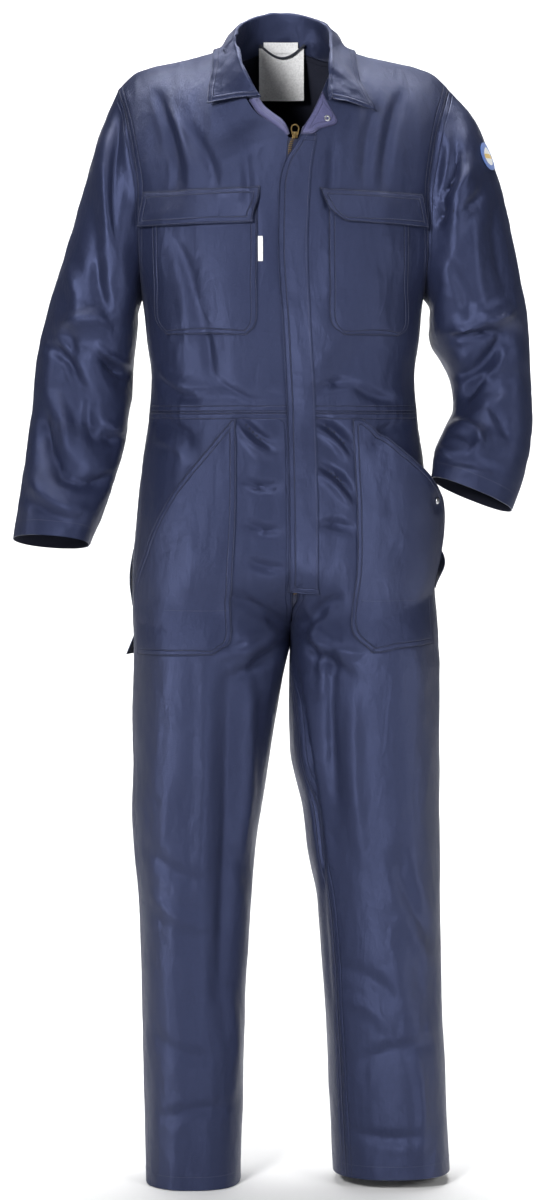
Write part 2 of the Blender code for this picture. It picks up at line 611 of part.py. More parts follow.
def below_shoulder(point):
    """Place inside the trunk that stays below the shoulders."""
    return (point[0] * 0.6, 0.0, min(point[2], -0.12))


def leg_axis(side):
    return lambda point: (side * 0.11, 0.0, point[2])


# ---------------------------------------------------------------- bodice and trousers
def bodice_grid(side, face):
    """Rows from the shoulder down to the waist, columns from the centre to the armhole."""
    columns = np.linspace(0, 1, TRUNK_COLUMNS + 1)
    rows = [[bodice_point(u, level, side, face) for u in columns]
            for level in reversed(BODICE_LEVELS)]
    for k in range(1, BODICE_ROWS + 1):
        z = UNDERARM_Z + (WAIST_Z - UNDERARM_Z) * k / BODICE_ROWS
        rows.append([trunk_point(u, z, side, face) for u in columns])
    return np.array(rows)


def trouser_grid(side, face):
    """Rows from the waist down to the hem, columns from the centre or inseam to the side."""
    hem_z = min(row.z for row in (LEFT_LEG if side > 0 else RIGHT_LEG))
    columns = np.linspace(0, 1, TRUNK_COLUMNS + 1)
    return np.array([[trouser_point(u, z, side, face) for u in columns]
                     for z in TROUSER_LEVELS + (hem_z,)])


def trunk_panels():
    panels = []
    for word, side in (("right", -1), ("left", 1)):
        panels.append(Panel(f"bodice_front_{word}", bodice_grid(side, -1), below_shoulder,
                            seams=("top", "bottom", "last")))
    right = bodice_grid(-1, 1)[:, ::-1]
    back = np.concatenate([right[:, :-1], bodice_grid(1, 1)], axis=1)
    panels.append(Panel("bodice_back", back, below_shoulder, seams=("top", "bottom", "first", "last")))
    for word, side in (("right", -1), ("left", 1)):
        for place, face in (("front", -1), ("back", 1)):
            panels.append(Panel(f"leg_{place}_{word}", trouser_grid(side, face), leg_axis(side),
                                seams=("top", "first", "last")))
    return panels


# ---------------------------------------------------------------- sleeves
def armhole_ring(side):
    """Closed ring on the armhole seam: shoulder tip, down the front, underarm, up the back."""
    front = [bodice_point(1, level, side, -1) for level in reversed(BODICE_LEVELS)]
    back = [bodice_point(1, level, side, 1) for level in BODICE_LEVELS]
    return np.array(front + back[1:-1])


def sleeve_ring(row, side, count):
    centre = np.array(((row.outer_x + row.inner_x) / 2, row.y, (row.outer_z + row.inner_z) / 2))
    arm = np.array(((row.outer_x - row.inner_x) / 2, 0, (row.outer_z - row.inner_z) / 2))
    out = []
    for k in range(count):
        angle = math.tau * k / count
        along = powered(math.cos(angle), 2 / RING_POWER)
        forward = powered(math.sin(angle), 2 / RING_POWER)
        point = centre + arm * along + np.array((0, -row.depth * forward, row.lift * forward))
        out.append((side * point[0], point[1], point[2]))
    return np.array(out)


def sleeve_grid(side):
    rows = LEFT_SLEEVE if side > 0 else RIGHT_SLEEVE
    seam = armhole_ring(side)
    rings = [seam] + [sleeve_ring(row, side, len(seam)) for row in rows]
    rings = np.array(rings)
    count = len(rings) * 2 - 1
    return np.stack([spline(rings[:, j], count) for j in range(len(seam))], axis=1)


def sleeve_axis(side):
    rows = LEFT_SLEEVE if side > 0 else RIGHT_SLEEVE
    middles = np.array([(side * (r.outer_x + r.inner_x) / 2, r.y, (r.outer_z + r.inner_z) / 2)
                        for r in rows])
    return lambda point: middles[np.argmin(np.linalg.norm(middles - point, axis=1))]


def sleeve_panels():
    return [Panel(f"sleeve_{word}", sleeve_grid(side), sleeve_axis(side), closed=True,
                  seams=("top",))
            for word, side in (("right", -1), ("left", 1))]


# ---------------------------------------------------------------- folds
def fold_height(fold, point):
    """How far a fold lifts the cloth at a point."""
    start, end = np.array((fold.x0, fold.z0)), np.array((fold.x1, fold.z1))
    way = end - start
    length = np.linalg.norm(way)
    way /= length
    left = np.array((-way[1], way[0]))
    offset = np.array((point[0], point[2])) - start
    along = float(np.dot(offset, way)) / length
    bow = fold.bow * 4 * along * (1 - along) if 0 < along < 1 else 0.0
    beyond = max(0.0, -along, along - 1) * length
    near = math.hypot(np.dot(offset, left) - bow, beyond) / fold.width
    if near >= 1:
        return 0.0
    taper = 0.35 + 0.65 * math.sin(math.pi * min(1.0, max(0.0, along))) ** 0.7
    return fold.height * taper * (1 - near ** 2) ** 2


def fold_panels(panels):
    """Move the panels' points out by the folds, alike where panels share points."""
    for panel, normals in zip(panels, shared_normals(panels)):
        for index in np.ndindex(panel.points.shape[:2]):
            point, normal = panel.points[index], normals[index]
            height = 0.0
            for fold in FOLDS:
                facing = min(1.0, max(0.0, (normal[1] * fold.face - 0.1) / 0.5))
                if facing > 0:
                    height += facing * fold_height(fold, point)
            panel.points[index] = point + normal * height


# ---------------------------------------------------------------- laid pieces
def outer_skin(panels):
    """Search tree over the outer faces of panels."""
    points, polygons = [], []
    for panel in panels:
        first = len(points)
        columns = panel.points.shape[1]
        points += [tuple(point) for point in panel.points.reshape(-1, 3)]
        polygons += [[first + i * columns + j for i, j in half]
                     for corners in panel.corners() for half in halves(panel.points, corners)]
    return BVHTree.FromPolygons(points, polygons)


def trunk_spot(x, z, behind=False):
    """Rough place on the front (or back) of the trunk at a width and a height."""
    half_width = track(TRUNK, "z", "half_width", z)
    share = min(1.0, abs(x) / half_width)
    depth = track(TRUNK, "z", "back" if behind else "front", z)
    y = depth * (1 - share ** SECTION_POWER) ** (1 / SECTION_POWER)
    return (x, y if behind else -y, z)


def lay(skin, spots, lift):
    """Rough places moved on to the skin and out from it by a lift, one value or one a place."""
    spots = np.array(spots, dtype=float)
    lifts = np.broadcast_to(lift, spots.shape[:-1])
    out = np.empty_like(spots)
    for index in np.ndindex(spots.shape[:-1]):
        place, normal, _, _ = skin.find_nearest(Vector(spots[index]))
        out[index] = place + normal * float(lifts[index])
    return out


def patch_spots(edges, columns, rows, behind=False):
    """Grid of rough places between two edges, each a list of (x, z) from top to bottom."""
    first = spline([(x, 0, z) for x, z in edges[0]], rows + 1)
    last = spline([(x, 0, z) for x, z in edges[1]], rows + 1)
    places = [[a * (1 - t) + b * t for t in np.linspace(0, 1, columns + 1)]
              for a, b in zip(first, last)]
    return np.array([[trunk_spot(place[0], place[2], behind) for place in row] for row in places])


def crown(rows, columns, height):
    """Lift that swells from nothing at the borders to a height in the middle."""
    v = np.linspace(0, 1, rows + 1)[:, None]
    u = np.linspace(0, 1, columns + 1)[None, :]
    return height * (np.sin(math.pi * u) * np.sin(math.pi * v)) ** 0.5


def raise_clear(panel, skin, wall, rounds=8, reach=0.03):
    """Move a patch's points out until its underside clears the skin between them too.

    Places beside the skin's border, rather than over it, are left as they are.
    """
    steps = np.linspace(0, 1, 5)
    shares = [(s, t - s, 1 - t) for s in steps for t in steps if t >= s]
    for _ in range(rounds):
        under = panel.points - shared_normals([panel])[0] * wall
        push = np.zeros(panel.points.shape)
        for half in (half for corners in panel.corners() for half in halves(panel.points, corners)):
            places = np.array([under[corner] for corner in half])
            for share in shares:
                spot = Vector(np.dot(share, places))
                place, normal, _, distance = skin.find_nearest(spot)
                height = (spot - place).dot(normal)
                beside = distance > CLEARANCE and abs(height) < distance / 2
                if distance < reach and height < CLEARANCE and not beside:
                    for corner in half:
                        if CLEARANCE - height > np.linalg.norm(push[corner]):
                            push[corner] = normal * (CLEARANCE - height)
        panel.points = panel.points + push


def laid_panel(name, skin, spots, lift, finish, collection, inside=below_shoulder, wall=WALL):
    """A patch of cloth over a skin, its underside at the lift."""
    panel = Panel(name, lay(skin, spots, np.asarray(lift) + wall), inside)
    raise_clear(panel, skin, wall)
    add_object(name, wall_mesh(panel, shared_normals([panel])[0], wall), finish, collection)
    return panel


# ---------------------------------------------------------------- collar
def collar_rows():
    """Rows from the neck seam over the fold to the leaf's edge, columns round the neck."""
    fold = spline([(r.fold_x, r.fold_y, r.fold_z) for r in COLLAR], COLLAR_COLUMNS)
    edge = spline([(r.edge_x, r.edge_y, r.edge_z) for r in COLLAR], COLLAR_COLUMNS)
    run = np.concatenate([[0], np.cumsum(np.linalg.norm(np.diff(fold, axis=0), axis=1))])
    seam = along_path(neck_edge(), np.interp(run, (0, run[-1]), COLLAR_SEAM))
    rows = []
    for s, f, e in zip(seam, fold, edge):
        out = e - f
        out[2] = 0
        out /= np.linalg.norm(out)
        rolled = f + out * 0.006
        rows.append([s + out * COLLAR_TURNING, s, s * 0.5 + f * 0.5, f, f + out * 0.003 + (0, 0, 0.003),
                     rolled + (0, 0, 0.001),
                     rolled * 0.7 + e * 0.3 + out * 0.002 + (0, 0, 0.002),
                     rolled * 0.33 + e * 0.67 + out * 0.001 + (0, 0, 0.001), e])
    return np.array(rows).transpose(1, 0, 2)


def keep_clear(points, skin, clearance, reach=0.02):
    """Move points that are under the skin, or nearer to it than the clearance, out of it."""
    out = points.copy()
    for index in np.ndindex(points.shape[:-1]):
        point = Vector(points[index])
        place, normal, _, distance = skin.find_nearest(point)
        if distance < clearance or (distance < reach and (point - place).dot(normal) < clearance):
            out[index] = place + normal * clearance
    return out


def neck_edge():
    """The panels' neck edges as one path, from the right front round the back to the left."""
    right = [bodice_point(0, level, -1, -1) for level in BODICE_LEVELS if level > V_LEVEL]
    left = [bodice_point(0, level, 1, -1) for level in BODICE_LEVELS if level > V_LEVEL]
    back = [bodice_point(u, 1.0, side, 1) for side, places in ((-1, np.linspace(1, 0, 61)),
                                                               (1, np.linspace(0, 1, 61)[1:]))
            for u in places]
    back = [point for point in back if abs(point[0]) < NECK_FRONT[-1].left]
    return np.array(right + back + left[::-1])


def along_path(path, places):
    """Points at fractions of the length of a path of straight runs."""
    lengths = np.concatenate([[0], np.cumsum(np.linalg.norm(np.diff(path, axis=0), axis=1))])
    return np.stack([np.interp(np.array(places) * lengths[-1], lengths, path[:, k])
                     for k in range(3)], axis=1)


def build_collar(skin, finish, collection):
    points = collar_rows()
    points[:2] = keep_clear(points[:2], skin, COLLAR_SEAM_CLEARANCE)
    points[2:] = keep_clear(points[2:], skin, COLLAR_CLEARANCE)
    outwards = points[0] - points[1]
    points[1] -= outwards / np.linalg.norm(outwards, axis=1, keepdims=True) * COLLAR_SEAM_INSET
    for rows in (slice(0, 2), slice(3, None)):
        leaf = Panel("collar", points[rows], below_shoulder)
        flipped = not np.array_equal(leaf.points[0, 0], points[rows][0, 0])
        raise_clear(leaf, skin, WALL / 2, reach=COLLAR_REACH)
        points[rows] = leaf.points[:, ::-1] if flipped else leaf.points
    mesh = grid_mesh("collar", points)
    mesh.shade_smooth()
    made = add_object("collar", mesh, finish, collection)
    solidify = made.modifiers.new("Wall", "SOLIDIFY")
    solidify.thickness = WALL
    solidify.offset = 0
    return points


# ---------------------------------------------------------------- pockets and placket
def build_chest_pockets(trunk, finish, collection):
    rows, columns = 6, 6
    pockets = []
    for word, edges in CHEST_POCKETS.items():
        spots = patch_spots(edges, columns, rows)
        lift = LAY_GAP + crown(rows, columns, POCKET_CROWN)
        pockets.append(laid_panel(f"chest_pocket_{word}", outer_skin(trunk), spots, lift, finish, collection))
    rows, columns = 3, 8
    for word, edges in FLAPS.items():
        spots = patch_spots(edges, columns, rows)
        stand = np.linspace(0, 1, rows + 1)[:, None] ** 0.6 * (FLAP_STAND + WALL)
        lift = np.broadcast_to(LAY_GAP + stand, (rows + 1, columns + 1))
        laid_panel(f"flap_{word}", outer_skin(trunk), spots, lift, finish, collection)


def centre_column(panel):
    """The border of a front that is nearer to the centre line, from the top down."""
    return panel.points[:, min((0, -1), key=lambda k: abs(panel.points[0, k, 0]))]


def build_zip_chain(fronts, finish, collection):
    """Strip between the edges of the fronts, from the neck opening to the end of the fly."""
    edges = {}
    for side in ("right", "left"):
        bodice, trousers = (centre_column(panel) for panel in fronts if panel.name.endswith(side))
        path = np.concatenate([bodice[len(BODICE_LEVELS) - 1 - BODICE_LEVELS.index(V_LEVEL):], trousers[1:]])
        edges[side] = path[path[:, 2] > FLY_END_Z - 0.003]
    rows = []
    for a, b in zip(edges["right"], edges["left"]):
        step = (b - a) / np.linalg.norm(b - a) * SEAM_GAP
        rows.append([a + step, b - step])
    panel = Panel("zip_chain", rows, below_shoulder)
    panel.points = panel.points - shared_normals([panel])[0] * ZIP_RECESS
    add_object(panel.name, wall_mesh(panel, shared_normals([panel])[0]), finish, collection)
    return panel


def build_placket(skin, finish, collection):
    spots = []
    for z in np.linspace(PLACKET[0].z, PLACKET[-1].z, 28):
        free, sewn = (track(PLACKET, "z", name, z) for name in ("free_x", "sewn_x"))
        spots.append([trunk_spot(x, z) for x in np.linspace(free, sewn, 4)])
    return laid_panel("placket", skin, spots, LAY_GAP, finish, collection, wall=PLACKET_WALL)


def build_hip_pockets(skin, finish, collection):
    rows, columns = 9, 6
    mouth = np.linspace(0, 1, rows + 1)[:, None]
    outwards = np.linspace(0, 1, columns + 1)[None, :]
    made = {}
    for word, edges in HIP_POCKETS.items():
        spots = patch_spots(edges, columns, rows)
        gape = HIP_POCKET_GAPE[word] * outwards ** 2 * np.sin(math.pi * np.clip(mouth * 1.25, 0, 1)) ** 0.8
        lift = LAY_GAP + crown(rows, columns, POCKET_CROWN) + gape
        made[word] = laid_panel(f"hip_pocket_{word}", skin, spots, lift, finish, collection)
    return made


def build_slit_guards(skin, finish, collection):
    """Strips behind the pocket's side edge that cover the side opening, bowed outwards."""
    rows = 8
    for word, (top_z, bottom_z, bow) in SLIT_GUARDS.items():
        side = 1 if word == "left" else -1
        spots = []
        for z in np.linspace(top_z, bottom_z, rows + 1):
            half_width = track(TRUNK, "z", "half_width", z) * side
            spots.append([(half_width, y, z) for y in (0.006, 0.006 + SLIT_GUARD_WIDTH)])
        along = np.linspace(0, 1, rows + 1)[:, None]
        lift = LAY_GAP + bow * np.sin(math.pi * along) ** 1.5 * np.array([[1.0, 0.4]])
        laid_panel(f"slit_guard_{word}", skin, np.array(spots), lift, finish, collection)


def build_rule_pocket(skin, finish, collection):
    columns = 4
    for name, edges, rows, stand in (("rule_pocket", RULE_POCKET, 5, 0.0),
                                     ("rule_flap", RULE_FLAP, 2, RULE_FLAP_STAND)):
        spots = patch_spots(edges, columns, rows, behind=True)
        away = np.linspace(0, 1, rows + 1)[:, None] * np.linspace(0.3, 1, columns + 1)[None, :]
        laid_panel(name, skin, spots, LAY_GAP + stand * away, finish, collection)


def build_lapels(skin, finish, collection):
    lapel = laid_panel("facing_left", skin, patch_spots(LEFT_LAPEL, 4, 7), LAY_GAP, finish, collection)
    edge = [bodice_point(0, level, -1, -1) for level in BODICE_LEVELS if V_LEVEL <= level < 0.8]
    rolled = []
    for t, outer in zip(np.linspace(0, 1, 8), along_path(np.array(edge), np.linspace(0.03, 0.85, 8))):
        width = RIGHT_LAPEL_WIDTH * min(1.0, 0.35 + 3 * t) * 0.7
        outer = outer + (0.0005, 0.0001, 0.0005)
        middle = outer + (width * 0.5, RIGHT_LAPEL_TURN * 0.15, width * 0.5)
        inner = outer + (width, RIGHT_LAPEL_TURN, width)
        rolled.append([outer, middle, inner])
    panel = Panel("facing_right", rolled, lambda point: (point[0] - 0.05, 0.1, point[2] - 0.05))
    add_object(panel.name, wall_mesh(panel, shared_normals([panel])[0]), finish, collection)
    return lapel


# ---------------------------------------------------------------- metal
def turned(name, profile, place, outward, finish, collection, steps=16):
    """A turned piece: a profile of (radius, height) from its outer side down, on an axis."""
    mesh = bpy.data.meshes.new(name)
    mesh.from_pydata([(radius, 0, height) for radius, height in profile],
                     [(i, i + 1) for i in range(len(profile) - 1)], [])
    made = add_object(name, mesh, finish, collection)
    screw = made.modifiers.new("Turned", "SCREW")
    screw.steps = screw.render_steps = steps
    screw.use_merge_vertices = True
    screw.merge_threshold = 0.00005
    made.location = place
    made.rotation_euler = Vector(outward).to_track_quat("Z", "Y").to_euler()
    return made


def seat(skin, spot, radius):
    """Place and direction of a round piece that rests on a skin with its rim clear of it."""
    place, normal, _, _ = skin.find_nearest(Vector(spot))
    across = normal.orthogonal().normalized()
    rim = [across.copy() for _ in range(8)]
    for k, arm in enumerate(rim):
        arm.rotate(Quaternion(normal, math.tau * k / len(rim)))
    heights = [(skin.find_nearest(place + arm * radius)[0] - place).dot(normal) for arm in rim]
    return place + normal * (max(heights + [0.0]) + SEAM_GAP), normal


def build_studs(lapel, hip_pockets, finish, collection):
    place, normal = seat(outer_skin([lapel]), trunk_spot(*NECK_SNAP), NECK_SNAP_RADIUS)
    r = NECK_SNAP_RADIUS
    ring = ((r * 0.45, 0.0), (r * 0.95, 0.0), (r, 0.0006), (r * 0.85, 0.0014), (r * 0.62, 0.0014),
            (r * 0.45, 0.0006), (r * 0.45, 0.0))
    turned("neck_snap", ring[::-1], place, normal, finish, collection)
    r = HIP_STUD_RADIUS
    cap = ((0.0, 0.0018), (r * 0.5, 0.0016), (r * 0.88, 0.0010), (r, 0.0004), (r * 0.96, 0.0), (0.0, 0.0))
    place, normal = seat(outer_skin([hip_pockets["left"]]), trunk_spot(*HIP_STUD), r)
    turned("hip_stud_left", cap, place, normal, finish, collection)


def tube(name, points, radius, finish, collection, cyclic=False, place=(0, 0, 0)):
    curve = bpy.data.curves.new(name, "CURVE")
    curve.dimensions = "3D"
    curve.bevel_depth = radius
    curve.bevel_resolution = 1
    curve.use_fill_caps = not cyclic
    run = curve.splines.new("POLY")
    run.points.add(len(points) - 1)
    for target, point in zip(run.points, points):
        target.co = (*point, 1)
    run.use_cyclic_u = cyclic
    made = bpy.data.objects.new(name, curve)
    made.location = place
    collection.objects.link(made)
    curve.materials.append(finish)
    return made


def build_slider(chain, finish, collection):
    """Zip slider with its bridge at the top of the chain, and the pull tab in the bridge."""
    top = max(chain.points[[0, -1]], key=lambda row: row[0, 2])
    face = top.mean(axis=0) - (0, ZIP_RECESS, 0)
    place = (SLIDER_X, face[1] + SLIDER_RECESS, face[2] + SLIDER_SIZE[2] / 2 + SEAM_GAP)
    bpy.ops.mesh.primitive_cube_add(size=1, location=place)
    body = bpy.context.object
    body.name = body.data.name = "zip_slider"
    for owner in body.users_collection:
        owner.objects.unlink(body)
    collection.objects.link(body)
    body.data.materials.append(finish)
    for vertex in body.data.vertices:
        vertex.co = [a * b for a, b in zip(vertex.co, SLIDER_SIZE)]
    bevel = body.modifiers.new("Edges", "BEVEL")
    bevel.width = 0.0006
    bevel.segments = 2
    tube("zip_bridge", BRIDGE, BRIDGE_WIRE, finish, collection, place=place)
    half = TAB_HALF_WIDTH
    arc = [(half * math.cos(a), 0, TAB_LENGTH - half + half * math.sin(a))
           for a in np.linspace(0, math.pi, 9)]
    foot = [(-half * 0.76, 0, 0.0012), (-half * 0.6, 0, 0), (half * 0.6, 0, 0), (half * 0.76, 0, 0.0012)]
    pivot = [a + b for a, b in zip(place, (0, PIVOT_AHEAD, 0))]
    tube("pull_tab", foot + arc, TAB_WIRE, finish, collection, cyclic=True, place=pivot)


# ---------------------------------------------------------------- labels, loop and badge
def stand_y(stand, x, z):
    """Where the inner face of the collar's stand is, behind a place in the neck."""
    hit, _, _, _ = stand.ray_cast(Vector((x, 0, z)), Vector((0, 1, 0)))
    return hit.y - WALL / 2


def build_labels(collar, trunk_skin, white, tape, collection):
    """Labels sewn to the stand's inside one over the other, and the loop over both."""
    stand = BVHTree.FromPolygons([tuple(point) for point in collar.reshape(-1, 3)],
                                 [polygon.vertices[:] for polygon in grid_mesh("stand", collar).polygons])
    behind = LABEL_STAND_OFF
    for name, ((x0, z0), (x1, z1)) in (("neck_label", NECK_LABEL), ("size_label", SIZE_LABEL)):
        top = [stand_y(stand, x, LABEL_SEAM_Z) - behind - LABEL_WALL for x in np.linspace(x0, x1, 7)]
        points = [[(x, y, z0 + (z1 - z0) * t) for x, y in zip(np.linspace(x0, x1, 7), top)]
                  for t in np.linspace(0, 1, 3)]
        panel = Panel(name, points, lambda point: (point[0], point[1] + 1, point[2]))
        add_object(name, wall_mesh(panel, shared_normals([panel])[0], LABEL_WALL), white, collection)
        behind += LABEL_WALL + 2 * SEAM_GAP
    x0, x1 = LOOP_ENDS
    behind += LOOP_RADIUS
    points = []
    for t in np.linspace(0, 1, 15):
        x = x0 + (x1 - x0) * t
        inwards = behind - (LABEL_WALL + 2 * SEAM_GAP) * (t in (0, 1))
        points.append((x, stand_y(stand, x, LABEL_SEAM_Z) - inwards,
                       LOOP_TOP_Z - LOOP_SAG * math.sin(math.pi * t)))
    tube("hanging_loop", points, LOOP_RADIUS, tape, collection)
    (x0, z0), (x1, z1) = SIDE_LABEL
    spots = [[trunk_spot(x, z) for x in (x0, x1)] for z in np.linspace(z0, z1, 4)]
    laid_panel("side_label", trunk_skin, spots, LAY_GAP, white, collection, wall=LABEL_WALL)


def build_badge(skin, finish, collection):
    place, normal, _, _ = skin.find_nearest(Vector(BADGE_PLACE))
    right = normal.cross(Vector((0, 0, 1))).normalized()
    up = right.cross(normal)
    spots = []
    for v in np.linspace(-1, 1, 7):
        across = [(u * math.sqrt(1 - v * v / 2), v * math.sqrt(1 - u * u / 2)) for u in np.linspace(-1, 1, 7)]
        spots.append([tuple(place + (right * a + up * b) * BADGE_RADIUS) for a, b in across])
    laid_panel("sleeve_badge", skin, np.array(spots), LAY_GAP + 0.0004, finish, collection,
               inside=sleeve_axis(1), wall=LABEL_WALL)


# ---------------------------------------------------------------- the garment
def clear_scene():
    for item in list(bpy.data.objects):
        bpy.data.objects.remove(item, do_unlink=True)


def main():
    clear_scene()
    parts = new_collection("boiler_suit")
    navy = material("navy_satin_cotton", NAVY, 0.6)
    facing = material("facing_navy", FACING_NAVY, 0.6)
    brass = material("brass", BRASS, 0.35, 1.0)
    nickel = material("nickel", NICKEL, 0.3, 1.0)
    white = material("white_label", WHITE, 0.7)
    tape = material("grey_tape", GREY_TAPE, 0.8)
    blue = material("badge_blue", BADGE_BLUE, 0.7)
    trunk = trunk_panels()
    sleeves = sleeve_panels()
    panels = trunk + sleeves
    fold_panels(panels)
    for panel, normals in zip(panels, shared_normals(panels)):
        add_object(panel.name, wall_mesh(panel, normals), navy, parts)
    skin = outer_skin(trunk)
    collar = build_collar(skin, navy, parts)
    build_chest_pockets(trunk, navy, parts)
    hip_pockets = build_hip_pockets(skin, navy, parts)
    build_slit_guards(skin, navy, parts)
    build_rule_pocket(skin, navy, parts)
    chain = build_zip_chain([panel for panel in trunk if "front" in panel.name], tape, parts)
    placket = build_placket(outer_skin(trunk + [chain]), navy, parts)
    lapel = build_lapels(outer_skin(trunk + [placket]), facing, parts)
    build_slider(chain, brass, parts)
    build_studs(lapel, hip_pockets, nickel, parts)
    build_labels(collar, skin, white, tape, parts)
    build_badge(outer_skin(sleeves), blue, parts)


if __name__ == "__main__":
    main()
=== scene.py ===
"""Boiler suit: cloth, stitching, zip, metal and stage, laid out as a Blender add-on.

It is run as a script. The surfaces come from the same section tables as the part, at a
finer pitch and with the small creases. Frame: metres, +Z up, the garment faces -Y, its
left side is at +X, and the origin is between the shoulders.
"""
import math
from collections import namedtuple

import bpy
import numpy as np
from bpy.props import FloatProperty, FloatVectorProperty, PointerProperty
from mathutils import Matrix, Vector, noise
from mathutils.bvhtree import BVHTree


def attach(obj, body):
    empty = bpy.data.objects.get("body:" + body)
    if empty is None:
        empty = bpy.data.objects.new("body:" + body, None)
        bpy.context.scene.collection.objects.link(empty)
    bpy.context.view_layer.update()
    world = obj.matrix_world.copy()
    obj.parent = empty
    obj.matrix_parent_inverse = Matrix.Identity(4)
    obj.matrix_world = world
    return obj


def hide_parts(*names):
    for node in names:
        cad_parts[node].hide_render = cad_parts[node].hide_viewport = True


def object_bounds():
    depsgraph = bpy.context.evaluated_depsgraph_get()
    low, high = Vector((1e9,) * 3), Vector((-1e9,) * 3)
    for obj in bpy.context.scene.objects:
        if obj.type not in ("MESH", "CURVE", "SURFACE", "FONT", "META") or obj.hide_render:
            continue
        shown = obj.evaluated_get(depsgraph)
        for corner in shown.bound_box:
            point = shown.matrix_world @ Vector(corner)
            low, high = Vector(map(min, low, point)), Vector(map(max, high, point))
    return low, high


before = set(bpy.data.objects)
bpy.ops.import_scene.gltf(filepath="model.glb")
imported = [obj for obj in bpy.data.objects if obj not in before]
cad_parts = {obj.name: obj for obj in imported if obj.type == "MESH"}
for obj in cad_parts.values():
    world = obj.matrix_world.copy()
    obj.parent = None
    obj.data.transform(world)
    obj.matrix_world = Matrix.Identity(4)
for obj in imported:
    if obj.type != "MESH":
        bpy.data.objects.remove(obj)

bl_info = {
    "name": "Boiler suit",
    "version": (1, 0, 0),
    "blender": (4, 5, 0),
    "location": "View3D > Sidebar > Boiler suit",
    "description": "Builds the cloth, stitching, zip and stage of a boiler suit over its frame",
    "category": "Object",
}

CAD_BOUNDS = [list(corner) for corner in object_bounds()]

# ---------------------------------------------------------------- driving dimensions
WALL = 0.0015                # the part's cloth wall, from which the collar's stand is set
SEAM_GAP = 0.0003
LAY_GAP = 0.0004             # under a patch, over the cloth that it lies on
UNDERARM_Z = -0.326
WAIST_Z = -0.476
CROTCH_Z = -0.790
SEAT_Z = -0.650
SHOULDER_TIP_Z = -0.060
SHOULDER_POWER = 3.0
SECTION_POWER = 2.4
RING_POWER = 2.2
FLY_END_Z = -0.716
ZIP_TOP_Z = -0.121
ZIP_TAPE_END = 0.018         # tape below the last tooth
ZIP_TAPE_WALL = 0.0009
ZIP_TOOTH = (0.0026, 0.0017, 0.0012)   # size of one tooth
TOOTH_OFFSET = 0.0011        # from the middle of the zip to the middle of a tooth
CUFF_HEM, TROUSER_HEM = 0.020, 0.018
COLLAR_ROW = 0.006           # the collar's row of stitches, from its edge
V_LEVEL = 0.53
BODICE_LEVELS = (0.0, 0.05, 0.15, 0.29, 0.42, V_LEVEL, 0.63, 0.74, 0.85, 0.94, 1.0)
FINER = 6                    # steps between two of the part's levels or rings
PITCH = 0.0045               # between the points of a cloth's grid
PANEL_SPAN = 0.31            # divided by the pitch, it gives the columns of a bodice or trouser panel
SLEEVE_STEPS = 10            # between two of the sleeve's rings
SEAM_ROWS = (0.0018, 0.0082)  # the two rows of stitches, from a seam or an edge
FOLD_STRENGTH, FOLD_SHARPNESS = 1.15, 1.8
FINE_SHARPNESS, FINE_SPREAD = 1.5, 1.2     # of the small creases
# The floor is a square, and a narrower backdrop curves up from it behind the suit.
FLOOR_REACH = 9.0
BACKDROP_Y, BACKDROP_CURVE, BACKDROP_REACH, BACKDROP_HEIGHT = 2.2, 1.2, 1.3, 2.5
CAMERA_PLACE, CAMERA_AIM = (-0.0127, -4.2, -0.45), (-0.0127, 0, -0.7276)

# ---------------------------------------------------------------- section tables
def table(columns, *rows):
    """Rows of values under names."""
    kind = namedtuple("Row", columns)
    return tuple(kind(*row) for row in rows)


TRUNK = table("z half_width front back",
    (-0.800, 0.204, 0.116, 0.128),
    (-0.700, 0.202, 0.122, 0.134),
    (-0.620, 0.196, 0.124, 0.130),
    (-0.540, 0.187, 0.120, 0.118),
    (-0.476, 0.178, 0.115, 0.106),
    (-0.430, 0.175, 0.118, 0.104),
    (-0.380, 0.181, 0.124, 0.107),
    (-0.326, 0.187, 0.130, 0.114),
    (-0.250, 0.206, 0.132, 0.119),
    (-0.180, 0.215, 0.129, 0.119),
    (-0.100, 0.228, 0.123, 0.114),
    (-0.000, 0.242, 0.116, 0.108),
)

# Bodice above the underarm: level 0 at the underarm, 1 at the shoulder seam.
ARMHOLE = table("level edge_x",
    (0.00, 0.187),
    (0.05, 0.188),
    (0.28, 0.190),
    (0.45, 0.190),
    (0.63, 0.196),
    (0.78, 0.204),
    (0.90, 0.212),
    (1.00, 0.2185),
)

# Edge of each front where the neck is open, measured towards its own side.
NECK_FRONT = table("level right left",
    (0.53, -0.0065, 0.0190),
    (0.57, 0.0095, 0.0250),
    (0.63, 0.0340, 0.0360),
    (0.74, 0.0520, 0.0500),
    (0.85, 0.0640, 0.0620),
    (1.00, 0.078, 0.078),
)

# Shoulder line, and how high the back reaches under it.
RIDGE = table("x top_z back_level",
    (0.000, 0.062, 0.869),
    (0.030, 0.050, 0.878),
    (0.055, 0.026, 0.912),
    (0.070, 0.010, 0.960),
    (0.078, 0.004, 1.000),
    (0.108, -0.006, 1.000),
    (0.190, -0.026, 1.000),
    (0.2185, -0.050, 1.000),
    (0.242, -0.078, 1.000),
)

# The centre front, and half the distance between the fronts.
ZIP_LINE = table("z x half_gap",
    (-0.800, 0.0093, 0.00015),
    (-0.735, 0.0150, 0.00015),
    (-0.722, 0.0170, 0.0043),
    (-0.620, 0.0170, 0.0043),
    (-0.476, 0.0145, 0.0043),
    (-0.360, 0.0080, 0.0043),
    (-0.260, 0.0040, 0.0043),
    (-0.180, 0.0075, 0.0043),
    (-0.110, 0.0150, 0.0043),
)

